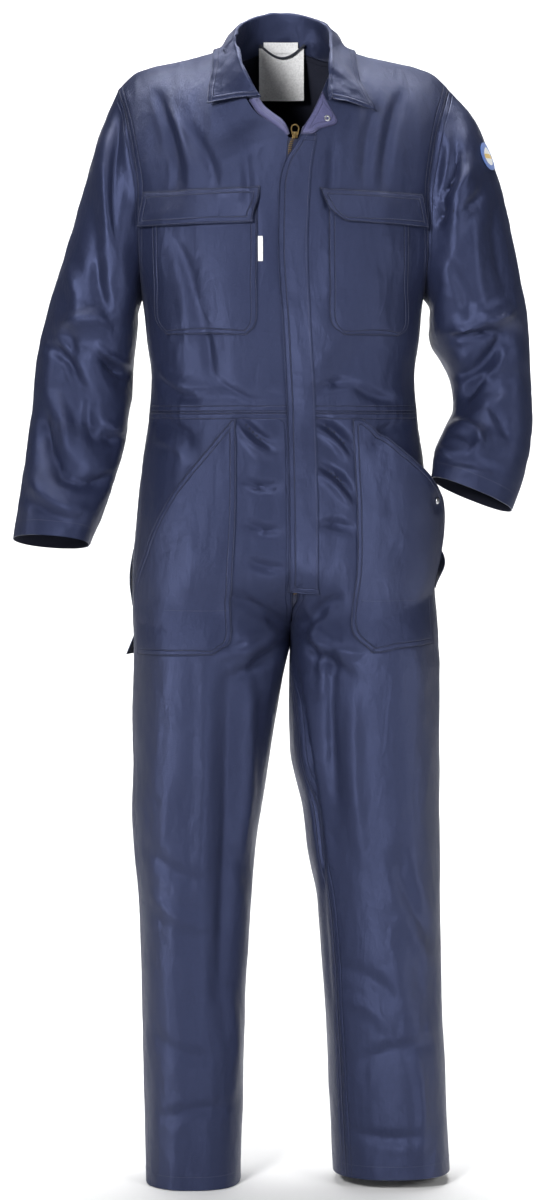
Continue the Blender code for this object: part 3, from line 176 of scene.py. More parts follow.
# Legs, measured towards their own side. The seam columns are angles round the ring from
# its outer side, positive to the front.
LEG_COLUMNS = "z inner outer front back side_seam inseam"
RIGHT_LEG = table(LEG_COLUMNS,
    (-0.790, -0.0090, 0.200, 0.111, 0.121, 0, 180),
    (-0.815, -0.0030, 0.200, 0.109, 0.119, 0, 180),
    (-0.862, 0.0060, 0.201, 0.104, 0.113, 4, 180),
    (-0.930, 0.0170, 0.201, 0.097, 0.104, 12, 180),
    (-1.000, 0.0280, 0.203, 0.090, 0.097, 20, 180),
    (-1.065, 0.0380, 0.200, 0.084, 0.091, 20, 180),
    (-1.133, 0.0430, 0.194, 0.080, 0.087, 18, 180),
    (-1.270, 0.0510, 0.190, 0.075, 0.082, 16, 180),
    (-1.513, 0.0570, 0.186, 0.070, 0.077, 26, 180),
)
LEFT_LEG = table(LEG_COLUMNS,
    (-0.790, 0.0096, 0.208, 0.111, 0.121, 0, 180),
    (-0.815, 0.0086, 0.210, 0.109, 0.119, -3, 168),
    (-0.862, 0.0080, 0.210, 0.104, 0.113, -6, 152),
    (-0.930, 0.0100, 0.210, 0.097, 0.104, -10, 146),
    (-1.000, 0.0250, 0.210, 0.090, 0.097, -14, 142),
    (-1.065, 0.0330, 0.211, 0.084, 0.091, -16, 140),
    (-1.133, 0.0460, 0.212, 0.080, 0.087, -18, 138),
    (-1.270, 0.0560, 0.215, 0.075, 0.082, -18, 138),
    (-1.499, 0.0680, 0.226, 0.070, 0.077, -18, 138),
)

# Sleeve rings, measured towards their own side: outer and inner point, centre and half
# depth, and how far the front stands above the ring's middle.
SLEEVE_COLUMNS = "outer_x outer_z inner_x inner_z y depth lift"
RIGHT_SLEEVE = table(SLEEVE_COLUMNS,
    (0.243, -0.108, 0.1925, -0.345, 0.000, 0.088, 0.000),
    (0.262, -0.174, 0.1935, -0.357, 0.000, 0.086, 0.000),
    (0.283, -0.245, 0.1950, -0.374, 0.000, 0.081, 0.000),
    (0.304, -0.311, 0.1970, -0.396, 0.000, 0.076, 0.000),
    (0.320, -0.367, 0.2000, -0.421, 0.002, 0.071, 0.000),
    (0.329, -0.411, 0.2010, -0.447, 0.000, 0.067, 0.000),
    (0.332, -0.453, 0.2050, -0.477, -0.008, 0.063, 0.002),
    (0.338, -0.507, 0.2110, -0.520, -0.018, 0.060, 0.004),
    (0.345, -0.559, 0.2230, -0.563, -0.028, 0.057, 0.006),
    (0.352, -0.606, 0.2380, -0.608, -0.035, 0.053, 0.009),
    (0.358, -0.644, 0.2570, -0.651, -0.041, 0.050, 0.011),
)
LEFT_SLEEVE = table(SLEEVE_COLUMNS,
    (0.252, -0.087, 0.1955, -0.338, 0.000, 0.088, 0.000),
    (0.280, -0.150, 0.1955, -0.350, 0.001, 0.086, 0.000),
    (0.300, -0.221, 0.1950, -0.362, 0.006, 0.083, 0.000),
    (0.315, -0.290, 0.1950, -0.375, 0.012, 0.078, 0.000),
    (0.327, -0.351, 0.2000, -0.391, 0.018, 0.072, 0.000),
    (0.330, -0.397, 0.2120, -0.410, 0.020, 0.068, 0.000),
    (0.332, -0.440, 0.2220, -0.431, 0.016, 0.065, 0.000),
    (0.333, -0.477, 0.2270, -0.453, 0.007, 0.062, 0.002),
    (0.331, -0.511, 0.2260, -0.476, -0.006, 0.059, 0.003),
    (0.324, -0.546, 0.2130, -0.500, -0.022, 0.056, 0.005),
    (0.314, -0.577, 0.2010, -0.528, -0.037, 0.053, 0.007),
    (0.302, -0.606, 0.1960, -0.563, -0.052, 0.050, 0.009),
)

def folds(face, *rows):
    """Folds of one face."""
    return table("face x0 z0 x1 z1 bow width height", *((face, *row) for row in rows))


# The largest folds, as curves on (x, z) between two ends with a bow to the left of their
# way, half a width, and a height that is negative in a trough. Face is -1 in front.
FOLDS = folds(-1,
    # right sleeve
    (-0.222, -0.080, -0.210, -0.262, 0.004, 0.026, -0.006),
    (-0.202, -0.330, -0.290, -0.352, 0.012, 0.030, 0.006),
    (-0.292, -0.376, -0.222, -0.528, -0.026, 0.026, -0.008),
    (-0.232, -0.408, -0.202, -0.440, 0.000, 0.024, -0.006),
    (-0.320, -0.480, -0.232, -0.572, -0.026, 0.027, -0.008),
    (-0.330, -0.560, -0.262, -0.606, -0.004, 0.026, 0.005),
    # left sleeve
    (0.218, -0.110, 0.206, -0.262, -0.006, 0.026, -0.006),
    (0.246, -0.160, 0.210, -0.236, 0.004, 0.026, 0.005),
    (0.222, -0.372, 0.306, -0.348, 0.006, 0.026, 0.007),
    (0.300, -0.376, 0.232, -0.440, 0.004, 0.026, -0.008),
    (0.226, -0.474, 0.290, -0.436, 0.006, 0.026, -0.007),
    (0.222, -0.500, 0.262, -0.536, 0.012, 0.025, 0.005),
    # bodice
    (-0.176, -0.086, -0.146, -0.196, 0.004, 0.030, -0.004),
    (-0.140, -0.250, -0.094, -0.440, 0.006, 0.036, -0.005),
    (0.060, -0.448, 0.130, -0.384, 0.008, 0.034, -0.005),
    # trousers
    (0.050, -0.498, 0.082, -0.545, 0.000, 0.030, -0.005),
    (-0.010, -0.790, -0.072, -0.842, 0.006, 0.030, -0.005),
    (0.030, -0.790, 0.088, -0.836, -0.006, 0.030, -0.005),
    (-0.073, -0.860, -0.080, -1.300, 0.004, 0.032, -0.005),
    (0.064, -0.860, 0.070, -1.090, -0.004, 0.030, -0.005),
    (0.150, -1.150, 0.196, -1.300, 0.010, 0.034, -0.004),
) + folds(1,
    # right sleeve
    (-0.290, -0.392, -0.214, -0.428, 0.010, 0.028, -0.007),
    (-0.306, -0.470, -0.224, -0.520, 0.014, 0.028, -0.007),
    (-0.226, -0.110, -0.214, -0.250, 0.006, 0.028, -0.006),
    # left sleeve
    (0.302, -0.356, 0.220, -0.398, -0.010, 0.028, -0.007),
    (0.306, -0.446, 0.232, -0.462, -0.010, 0.028, -0.007),
    (0.236, -0.110, 0.216, -0.250, -0.006, 0.028, -0.006),
    # bodice
    (-0.120, -0.100, -0.070, -0.330, 0.010, 0.040, -0.005),
    (0.130, -0.120, 0.076, -0.350, -0.010, 0.040, -0.005),
    (-0.100, -0.400, 0.080, -0.420, -0.012, 0.036, 0.005),
    # trousers
    (-0.020, -0.740, -0.120, -0.800, 0.014, 0.034, -0.006),
    (0.036, -0.745, 0.130, -0.806, -0.014, 0.034, -0.006),
    (-0.060, -1.040, -0.164, -1.070, 0.012, 0.036, -0.006),
    (0.070, -1.020, 0.176, -1.064, -0.012, 0.036, -0.006),
    (-0.110, -1.140, -0.120, -1.400, 0.006, 0.034, 0.004),
    (0.130, -1.140, 0.140, -1.400, -0.006, 0.034, 0.004),
)

# Collar: from its right front end round the back to its left front end.
COLLAR = table("fold_x fold_y fold_z edge_x edge_y edge_z",
    (-0.0300, -0.113, -0.070, -0.0990, -0.112, -0.077),
    (-0.0360, -0.111, -0.060, -0.0985, -0.106, -0.069),
    (-0.0440, -0.106, -0.046, -0.0980, -0.098, -0.059),
    (-0.0520, -0.096, -0.029, -0.0950, -0.086, -0.046),
    (-0.0570, -0.080, -0.011, -0.0910, -0.066, -0.030),
    (-0.0600, -0.055, 0.006, -0.0880, -0.040, -0.016),
    (-0.0605, -0.020, 0.020, -0.0870, -0.010, -0.006),
    (-0.0580, 0.020, 0.032, -0.0850, 0.026, -0.002),
    (-0.0500, 0.046, 0.042, -0.0740, 0.062, -0.004),
    (-0.0300, 0.066, 0.052, -0.0440, 0.098, -0.010),
    (0.0000, 0.073, 0.057, 0.0000, 0.112, -0.012),
    (0.0300, 0.066, 0.052, 0.0440, 0.098, -0.010),
    (0.0510, 0.046, 0.041, 0.0740, 0.062, -0.004),
    (0.0600, 0.020, 0.030, 0.0850, 0.026, -0.002),
    (0.0615, -0.026, 0.018, 0.0880, -0.014, -0.007),
    (0.0610, -0.060, 0.004, 0.0910, -0.042, -0.020),
    (0.0605, -0.083, -0.014, 0.0960, -0.068, -0.036),
    (0.0595, -0.096, -0.031, 0.1020, -0.086, -0.052),
    (0.0585, -0.103, -0.046, 0.1090, -0.098, -0.066),
    (0.0580, -0.110, -0.060, 0.1160, -0.106, -0.078),
    (0.0600, -0.117, -0.074, 0.1210, -0.108, -0.088),
)
COLLAR_SEAM = (0.06, 0.90)   # where the collar starts and ends along the neck edge
COLLAR_COLUMNS = 28
COLLAR_CLEARANCE = 0.0030    # from the panels to the middle of the collar's cloth
COLLAR_SEAM_CLEARANCE = 0.0018
COLLAR_SEAM_INSET = 0.0010   # the seam's fold inside the neck edge
COLLAR_TURNING = 0.004       # the stand's turning, on the outside of the neck edge

# Patches on the front: edges as (x, z) from top to bottom, towards the centre and away.
CHEST_POCKETS = {
    "right": (((-0.034, -0.212), (-0.033, -0.260), (-0.034, -0.310), (-0.034, -0.358), (-0.048, -0.376)),
              ((-0.171, -0.212), (-0.170, -0.260), (-0.168, -0.310), (-0.167, -0.354), (-0.152, -0.375))),
    "left": (((0.058, -0.212), (0.058, -0.260), (0.059, -0.310), (0.060, -0.358), (0.079, -0.376)),
             ((0.164, -0.212), (0.163, -0.260), (0.162, -0.310), (0.163, -0.362), (0.150, -0.377))),
}
FLAPS = {
    "right": (((-0.030, -0.184), (-0.031, -0.200), (-0.035, -0.216), (-0.040, -0.232)),
              ((-0.183, -0.189), (-0.183, -0.204), (-0.184, -0.219), (-0.184, -0.235))),
    "left": (((0.047, -0.186), (0.051, -0.200), (0.058, -0.213), (0.078, -0.230)),
             ((0.181, -0.192), (0.182, -0.206), (0.183, -0.220), (0.184, -0.236))),
}
FLAP_STAND = 0.0060          # a flap's lower edge from the pocket's cloth
POCKET_CROWN = 0.0025
# Hip pockets: the inner edge, then the slanted mouth and the side edge, on (x, z).
HIP_POCKETS = {
    "right": (((-0.061, -0.484), (-0.061, -0.602), (-0.066, -0.700), (-0.066, -0.768), (-0.091, -0.792)),
              ((-0.066, -0.484), (-0.148, -0.591), (-0.186, -0.688), (-0.192, -0.740), (-0.190, -0.796))),
    "left": (((0.089, -0.484), (0.095, -0.602), (0.095, -0.690), (0.088, -0.758), (0.116, -0.790)),
             ((0.103, -0.484), (0.166, -0.548), (0.194, -0.612), (0.194, -0.700), (0.188, -0.782))),
}
HIP_POCKET_GAPE = {"right": 0.006, "left": 0.022}
# Level rows of stitches across the hip pockets: z, from x, to x.
POCKET_ROWS = {"right": (-0.735, -0.152, -0.071), "left": (-0.722, 0.104, 0.168)}
SLIT_GUARDS = {"right": (-0.660, -0.735, 0.003), "left": (-0.640, -0.712, 0.016)}
SLIT_GUARD_Y, SLIT_GUARD_WIDTH = 0.006, 0.018
RULE_POCKET = (((-0.100, -0.815), (-0.100, -1.000)), ((-0.178, -0.815), (-0.174, -1.000)))
RULE_FLAP = (((-0.096, -0.768), (-0.096, -0.806)), ((-0.191, -0.758), (-0.1985, -0.804)))
RULE_FLAP_STAND = 0.014

# The left front's corner, turned out over the front, and the right front's rolled edge.
LEFT_LAPEL = (((0.056, -0.056), (0.0455, -0.0700), (0.0350, -0.0870), (0.0275, -0.1020), (0.0218, -0.1165)),
              ((0.066, -0.082), (0.0730, -0.0995), (0.0525, -0.1075), (0.0375, -0.1125), (0.0225, -0.1180)))
RIGHT_LAPEL_WIDTH = 0.014
RIGHT_LAPEL_TURN = 0.012     # how far the rolled edge goes back into the neck

STUD_DIMPLE = 0.022          # how far round a stud the cloth is pressed in
STUD_SEAT = 0.006            # the flat place under it
BADGE_PLACE = (0.300, -0.060, -0.128)
BADGE_RADIUS = 0.019
BADGE_RING = 0.0125          # inner radius of its ring
BADGE_BAR = 0.0032           # half the width of its bar

NECK_LABEL = ((-0.032, 0.012), (0.028, -0.058))
SIZE_LABEL = ((-0.026, 0.020), (0.020, 0.006))
SIDE_LABEL = ((-0.0325, -0.249), (-0.0265, -0.281))
LABEL_WALL = 0.0010
LABEL_SEAM_Z = 0.016
LABEL_STAND_OFF = 0.0016     # the first label from the stand, clear of the back's top edge
LOOP_ENDS = (-0.031, 0.029)
LOOP_TOP_Z = 0.016
LOOP_SAG = 0.017
LOOP_RADIUS = 0.0018
PLACKET = table("z free_x sewn_x",
    (-0.117, 0.0235, 0.0440),
    (-0.125, 0.0190, 0.0425),
    (-0.137, 0.0110, 0.0400),
    (-0.150, 0.0030, 0.0375),
    (-0.164, -0.0020, 0.0355),
    (-0.180, -0.0052, 0.0345),
    (-0.260, -0.0070, 0.0310),
    (-0.360, -0.0010, 0.0350),
    (-0.476, 0.0045, 0.0415),
    (-0.620, 0.0075, 0.0450),
    (-0.722, 0.0080, 0.0450),
)
PLACKET_WALL = 0.0022
ZIP_RECESS = 0.0010          # the zip chain behind the fronts' outer faces

# Small creases, sharper than the folds above.
FINE_FOLDS = folds(-1,
    (-0.216, -0.078, -0.218, -0.251, -0.004, 0.012, -0.0046),
    (-0.211, -0.102, -0.190, -0.202, 0.000, 0.009, 0.0029),
    (-0.293, -0.368, -0.231, -0.353, 0.008, 0.013, 0.0046),
    (-0.314, -0.387, -0.271, -0.427, 0.004, 0.010, -0.0034),
    (-0.297, -0.379, -0.264, -0.431, 0.004, 0.009, 0.0029),
    (-0.279, -0.376, -0.254, -0.460, -0.007, 0.012, -0.0046),
    (-0.254, -0.460, -0.245, -0.510, -0.003, 0.012, -0.0046),
    (-0.243, -0.509, -0.216, -0.519, 0.000, 0.009, -0.0034),
    (-0.239, -0.404, -0.199, -0.430, -0.003, 0.008, -0.0052),
    (-0.241, -0.392, -0.200, -0.415, -0.003, 0.008, 0.0034),
    (-0.235, -0.502, -0.211, -0.516, -0.001, 0.008, -0.0046),
    (-0.234, -0.491, -0.208, -0.503, -0.001, 0.008, 0.0029),
    (-0.315, -0.485, -0.300, -0.542, -0.005, 0.012, -0.0052),
    (-0.300, -0.542, -0.271, -0.570, -0.007, 0.012, -0.0052),
    (-0.271, -0.570, -0.225, -0.562, -0.005, 0.012, -0.0046),
    (-0.329, -0.570, -0.263, -0.604, -0.007, 0.013, 0.0034),
    (-0.294, -0.460, -0.286, -0.523, 0.005, 0.013, 0.0034),
    (-0.263, -0.173, -0.246, -0.319, 0.007, 0.018, -0.0029),
    (-0.287, -0.279, -0.269, -0.353, 0.005, 0.016, 0.0029),
    (-0.245, -0.279, -0.220, -0.368, -0.005, 0.013, -0.0034),
    (-0.339, -0.591, -0.279, -0.619, -0.004, 0.010, -0.0023),
    (0.213, -0.112, 0.203, -0.199, 0.004, 0.010, 0.0034),
    (0.241, -0.161, 0.209, -0.202, 0.004, 0.009, 0.0034),
    (0.227, -0.135, 0.207, -0.198, 0.004, 0.008, -0.0040),
    (0.210, -0.204, 0.202, -0.229, 0.000, 0.009, -0.0046),
    (0.256, -0.193, 0.219, -0.216, 0.004, 0.009, -0.0034),
    (0.228, -0.367, 0.264, -0.354, -0.004, 0.010, 0.0040),
    (0.264, -0.354, 0.300, -0.342, -0.003, 0.010, 0.0040),
    (0.230, -0.377, 0.289, -0.373, 0.004, 0.009, -0.0052),
    (0.288, -0.379, 0.234, -0.428, 0.007, 0.009, -0.0046),
    (0.296, -0.397, 0.252, -0.444, 0.005, 0.009, 0.0034),
    (0.229, -0.461, 0.280, -0.429, 0.005, 0.010, -0.0052),
    (0.224, -0.489, 0.258, -0.504, 0.004, 0.009, 0.0034),
    (0.258, -0.504, 0.249, -0.527, 0.004, 0.009, 0.0034),
    (0.221, -0.502, 0.249, -0.517, 0.003, 0.008, -0.0040),
    (0.206, -0.536, 0.279, -0.552, 0.004, 0.010, -0.0034),
    (0.195, -0.517, 0.226, -0.536, 0.000, 0.009, 0.0029),
    (0.279, -0.198, 0.294, -0.318, -0.007, 0.014, -0.0029),
    (0.251, -0.227, 0.264, -0.334, -0.005, 0.014, 0.0023),
    (0.271, -0.465, 0.295, -0.512, 0.004, 0.010, -0.0029),
    (0.214, -0.279, 0.246, -0.352, 0.005, 0.013, -0.0034),
    (-0.163, -0.063, -0.136, -0.179, 0.005, 0.012, -0.0038),
    (-0.149, -0.083, -0.119, -0.176, 0.004, 0.010, 0.0027),
    (-0.119, -0.112, -0.087, -0.179, 0.004, 0.012, -0.0030),
    (0.150, -0.067, 0.130, -0.179, -0.004, 0.012, -0.0032),
    (0.117, -0.084, 0.104, -0.179, -0.003, 0.012, -0.0027),
    (-0.048, -0.138, -0.035, -0.243, -0.003, 0.010, -0.0024),
    (0.064, -0.138, 0.055, -0.220, 0.003, 0.010, -0.0024),
    (-0.144, -0.252, -0.120, -0.314, 0.004, 0.010, -0.0030),
    (-0.120, -0.314, -0.096, -0.429, 0.004, 0.010, -0.0030),
    (-0.139, -0.282, -0.126, -0.382, 0.004, 0.012, 0.0024),
    (-0.161, -0.437, -0.120, -0.459, -0.004, 0.010, -0.0043),
    (-0.160, -0.424, -0.113, -0.444, -0.004, 0.010, 0.0030),
    (-0.090, -0.434, -0.028, -0.465, -0.004, 0.009, -0.0027),
    (0.045, -0.447, 0.089, -0.439, 0.004, 0.008, -0.0038),
    (0.048, -0.488, 0.087, -0.523, 0.004, 0.010, -0.0061),
    (0.050, -0.501, 0.084, -0.535, 0.004, 0.009, 0.0038),
    (0.050, -0.545, 0.089, -0.583, 0.004, 0.010, -0.0061),
    (0.050, -0.558, 0.087, -0.596, 0.004, 0.009, 0.0038),
    (0.053, -0.621, 0.089, -0.629, 0.003, 0.010, -0.0049),
    (0.094, -0.442, 0.149, -0.462, -0.004, 0.010, -0.0035),
    (-0.055, -0.484, -0.012, -0.518, -0.004, 0.010, -0.0053),
    (-0.056, -0.499, -0.017, -0.532, -0.004, 0.009, 0.0034),
    (-0.050, -0.566, -0.009, -0.571, -0.003, 0.009, -0.0042),
    (-0.046, -0.621, -0.007, -0.629, -0.003, 0.009, -0.0042),
    (-0.043, -0.670, -0.004, -0.678, -0.003, 0.009, -0.0042),
    (-0.170, -0.486, -0.119, -0.514, 0.005, 0.012, -0.0041),
    (-0.165, -0.512, -0.126, -0.535, 0.005, 0.010, 0.0027),
    (0.162, -0.492, 0.115, -0.517, -0.005, 0.012, -0.0041),
    (-0.062, -0.719, 0.009, -0.769, 0.005, 0.012, -0.0046),
    (0.069, -0.719, 0.025, -0.769, -0.005, 0.012, -0.0043),
    (0.014, -0.774, -0.062, -0.821, 0.005, 0.013, -0.0054),
    (0.022, -0.774, 0.085, -0.816, -0.005, 0.013, -0.0054),
    (0.006, -0.763, -0.078, -0.792, 0.004, 0.012, 0.0035),
    (0.030, -0.766, 0.095, -0.790, -0.004, 0.012, 0.0035),
    (-0.101, -0.774, -0.111, -1.118, 0.004, 0.017, 0.0030),
    (-0.045, -0.774, -0.054, -1.091, 0.004, 0.014, 0.0030),
    (-0.072, -0.774, -0.083, -1.251, 0.004, 0.016, -0.0035),
    (0.032, -0.729, 0.051, -0.844, 0.004, 0.010, 0.0035),
    (0.063, -0.774, 0.068, -0.985, -0.004, 0.012, -0.0043),
    (0.090, -0.840, 0.104, -1.064, -0.004, 0.016, 0.0027),
    (0.151, -1.064, 0.215, -1.200, -0.008, 0.018, -0.0032),
    (0.078, -1.213, 0.144, -1.251, 0.007, 0.016, -0.0018),
    (0.083, -1.256, 0.139, -1.291, 0.007, 0.013, 0.0013),
    (-0.181, -1.054, -0.102, -1.096, -0.008, 0.018, -0.0019),
    (-0.175, -1.118, -0.091, -1.157, -0.008, 0.016, 0.0015),
    (-0.062, -1.064, -0.028, -1.157, 0.005, 0.014, -0.0032),
    (-0.168, -1.307, -0.091, -1.334, -0.007, 0.016, -0.0017),
    (-0.158, -1.417, -0.076, -1.401, 0.005, 0.013, -0.0017),
    (-0.068, -1.251, -0.062, -1.385, 0.004, 0.013, 0.0024),
    (0.104, -1.339, 0.202, -1.318, 0.007, 0.016, -0.0017),
    (0.091, -1.433, 0.187, -1.441, -0.005, 0.013, -0.0017),
    (0.178, -1.331, 0.187, -1.465, 0.004, 0.014, 0.0021),
    (0.014, -0.800, 0.052, -1.075, 0.001, 0.006, -0.0042),
    (0.052, -1.075, 0.063, -1.260, -0.002, 0.006, -0.0030),
) + folds(1,
    (-0.150, -0.090, -0.110, -0.300, 0.006, 0.016, -0.0030),
    (-0.090, -0.080, -0.060, -0.260, 0.005, 0.014, -0.0025),
    (0.150, -0.095, 0.112, -0.290, -0.006, 0.016, -0.0030),
    (0.086, -0.080, 0.064, -0.280, -0.005, 0.014, -0.0025),
    (-0.172, -0.210, -0.120, -0.330, 0.006, 0.013, -0.0030),
    (0.172, -0.215, 0.118, -0.320, -0.006, 0.013, -0.0030),
    (-0.130, -0.400, -0.040, -0.430, -0.006, 0.012, -0.0030),
    (0.126, -0.395, 0.034, -0.428, 0.006, 0.012, -0.0030),
    (-0.080, -0.440, 0.020, -0.462, -0.005, 0.010, 0.0025),
    (-0.150, -0.500, -0.070, -0.560, 0.006, 0.013, -0.0030),
    (0.150, -0.500, 0.074, -0.556, -0.006, 0.013, -0.0030),
    (-0.020, -0.650, -0.090, -0.730, 0.008, 0.014, -0.0035),
    (0.036, -0.650, 0.104, -0.726, -0.008, 0.014, -0.0035),
    (-0.030, -0.770, -0.140, -0.812, 0.010, 0.015, -0.0040),
    (0.044, -0.772, 0.150, -0.816, -0.010, 0.015, -0.0040),
    (-0.036, -0.800, -0.120, -0.842, 0.008, 0.012, 0.0030),
    (0.050, -0.802, 0.130, -0.846, -0.008, 0.012, 0.0030),
    (-0.060, -1.010, -0.160, -1.030, 0.008, 0.014, -0.0035),
    (-0.056, -1.060, -0.150, -1.082, 0.008, 0.013, -0.0035),
    (-0.070, -1.090, -0.166, -1.100, -0.006, 0.012, 0.0030),
    (0.066, -1.000, 0.168, -1.020, -0.008, 0.014, -0.0035),
    (0.062, -1.050, 0.160, -1.074, -0.008, 0.013, -0.0035),
    (0.074, -1.084, 0.172, -1.092, 0.006, 0.012, 0.0030),
    (-0.120, -0.860, -0.118, -0.990, 0.006, 0.014, -0.0025),
    (0.110, -0.860, 0.116, -0.985, -0.006, 0.014, -0.0025),
    (-0.090, -1.180, -0.100, -1.420, 0.006, 0.016, 0.0025),
    (0.160, -1.180, 0.166, -1.420, -0.006, 0.016, 0.0025),
    (-0.140, -1.200, -0.146, -1.400, -0.004, 0.014, -0.0022),
    (0.110, -1.200, 0.116, -1.400, 0.004, 0.014, -0.0022),
    (-0.080, -1.440, -0.160, -1.452, 0.004, 0.012, -0.0022),
    (0.100, -1.430, 0.190, -1.444, -0.004, 0.012, -0.0022),
)
# The backs of the sleeves crease like their fronts, a little lower and softer.
FINE_FOLDS += tuple(row._replace(face=1, z0=row.z0 - 0.010, z1=row.z1 - 0.014, bow=-row.bow,
                                 width=1.15 * row.width, height=0.85 * row.height)
                    for row in FINE_FOLDS if abs(row.x0) > 0.2)


# ---------------------------------------------------------------- small helpers
def track(rows, key, name, at):
    """Smooth values of a column of a table, without overshoot, at places of its key column."""
    table = sorted((getattr(row, key), getattr(row, name)) for row in rows)
    x = np.array([pair[0] for pair in table])
    y = np.array([pair[1] for pair in table])
    step = np.diff(x)
    rise = np.diff(y) / step
    slope = np.zeros_like(y)
    slope[0], slope[-1] = rise[0], rise[-1]
    for i in range(1, len(y) - 1):
        if rise[i - 1] * rise[i] > 0:
            slope[i] = 2 * rise[i - 1] * rise[i] / (rise[i - 1] + rise[i])
    at = np.clip(np.asarray(at, dtype=float), x[0], x[-1])
    i = np.clip(np.searchsorted(x, at) - 1, 0, len(step) - 1)
    t = (at - x[i]) / step[i]
    return (y[i] * (1 + 2 * t) * (1 - t) ** 2 + slope[i] * step[i] * t * (1 - t) ** 2
            + y[i + 1] * t * t * (3 - 2 * t) + slope[i + 1] * step[i] * t * t * (t - 1))


def powered(value, power):
    """A power that keeps the sign."""
    return np.sign(value) * np.abs(value) ** power


def spline(points, count):
    """Points at even parameters along the first axis, on smooth curves through the given ones."""
    points = np.array(points, dtype=float)
    padded = np.concatenate([2 * points[:1] - points[1:2], points, 2 * points[-1:] - points[-2:-1]])
    out = []
    for place in np.linspace(0, len(points) - 1, count):
        i = min(int(place), len(points) - 2)
        t = place - i
        a, b, c, d = padded[i:i + 4]
        out.append(0.5 * (2 * b + (c - a) * t + (2 * a - 5 * b + 4 * c - d) * t * t
                          + (3 * b - a - 3 * c + d) * t ** 3))
    return np.array(out)


def refined(grid, row_steps, column_steps):
    """A grid with more rows and columns, on the smooth surface through its points."""
    grid = spline(grid, (len(grid) - 1) * row_steps + 1)
    turned = grid.transpose(1, 0, 2)
    return spline(turned, (len(turned) - 1) * column_steps + 1).transpose(1, 0, 2)


def unit(vectors):
    return vectors / np.maximum(np.linalg.norm(vectors, axis=-1, keepdims=True), 1e-12)


def along_path(path, places):
    """Points at fractions of the length of a path of straight runs."""
    lengths = np.concatenate([[0], np.cumsum(np.linalg.norm(np.diff(path, axis=0), axis=1))])
    return np.stack([np.interp(np.array(places) * lengths[-1], lengths, path[:, k])
                     for k in range(3)], axis=1)


def undulation(points, scale, stretch=(1, 1, 1)):
    """Smooth random heights from about -1 to 1, alike at like places."""
    flat = (points * scale * np.array(stretch)).reshape(-1, 3)
    return np.array([noise.noise(Vector(point)) for point in flat]).reshape(points.shape[:-1])


# ---------------------------------------------------------------- surfaces of the garment
def section_angle(x, half_width):
    """Angle on a level section, from its centre line, at which the section reaches x."""
    return np.arcsin(powered(np.clip(x / half_width, -1, 1), SECTION_POWER / 2))


def section_x(angle, half_width):
    return half_width * powered(np.sin(angle), 2 / SECTION_POWER)


def section_depth(angle, depth):
    return depth * np.abs(np.cos(angle)) ** (2 / SECTION_POWER)


def zip_edge(z, side):
    """Edge of a front at the zip, measured towards its own side."""
    return side * track(ZIP_LINE, "z", "x", z) + track(ZIP_LINE, "z", "half_gap", z)


def bodice_surface(u, level, side, face):
    """Points of the bodice above the underarm; face is -1 at the front and 1 at the back."""
    u, level = np.broadcast_arrays(np.asarray(u, dtype=float), np.asarray(level, dtype=float))
    z_level = UNDERARM_Z * (1 - level)
    half_width = track(TRUNK, "z", "half_width", z_level)
    end = section_angle(track(ARMHOLE, "level", "edge_x", level), half_width)
    start = 0.0
    if face < 0:
        open_edge = track(NECK_FRONT, "level", "left" if side > 0 else "right", level)
        start = section_angle(np.where(level < V_LEVEL, zip_edge(z_level, side), open_edge), half_width)
    angle = start + (end - start) * u
    x = section_x(angle, half_width)
    height = level * track(RIDGE, "x", "back_level", np.abs(x)) if face > 0 else level
    depth = track(TRUNK, "z", "front" if face < 0 else "back", z_level)
    roll = np.maximum(0, 1 - height ** SHOULDER_POWER) ** (1 / SHOULDER_POWER)
    z = UNDERARM_Z + (track(RIDGE, "x", "top_z", np.abs(x)) - UNDERARM_Z) * height
    return np.stack([side * x, face * section_depth(angle, depth) * roll, z], axis=-1)


def trunk_surface(u, z, side, face):
    """Points of level sections below the underarm, from the centre line to the side."""
    half_width = track(TRUNK, "z", "half_width", z)
    if face < 0:
        start = section_angle(zip_edge(z, side), half_width)
    else:
        moved = side * track(ZIP_LINE, "z", "x", z) * trunk_to_leg(z) + SEAM_GAP / 2
        start = np.where(z < WAIST_Z, section_angle(moved, half_width), 0.0)
    angle = start + (math.pi / 2 - start) * u
    depth = track(TRUNK, "z", "front" if face < 0 else "back", z)
    return np.stack([side * section_x(angle, half_width), face * section_depth(angle, depth), z], axis=-1)


def leg_surface(u, z, side, face):
    """Points of a leg's rings, from the inseam to the side seam."""
    rows = LEFT_LEG if side > 0 else RIGHT_LEG
    inner, outer = (track(rows, "z", name, z) for name in ("inner", "outer"))
    side_seam, inseam = (np.radians(track(rows, "z", name, z)) for name in ("side_seam", "inseam"))
    if face > 0:
        inseam = inseam - math.tau
    angle = inseam + (side_seam - inseam) * u
    depth = np.where(np.sin(angle) > 0, track(rows, "z", "front", z), track(rows, "z", "back", z))
    x = (inner + outer) / 2 + (outer - inner) / 2 * powered(np.cos(angle), 2 / SECTION_POWER)
    return np.stack([side * x, -depth * powered(np.sin(angle), 2 / SECTION_POWER), z], axis=-1)


def trunk_to_leg(z):
    """0 in the trunk, 1 in the legs: how far the section has divided."""
    t = np.clip((SEAT_Z - z) / (SEAT_Z - CROTCH_Z), 0, 1)
    return t ** 3.5 * (4.5 - 3.5 * t)


def trouser_surface(u, z, side, face):
    u, z = np.broadcast_arrays(np.asarray(u, dtype=float), np.asarray(z, dtype=float))
    share = np.clip(trunk_to_leg(z), 0, 1)[..., None]
    return trunk_surface(u, z, side, face) * (1 - share) + leg_surface(u, z, side, face) * share


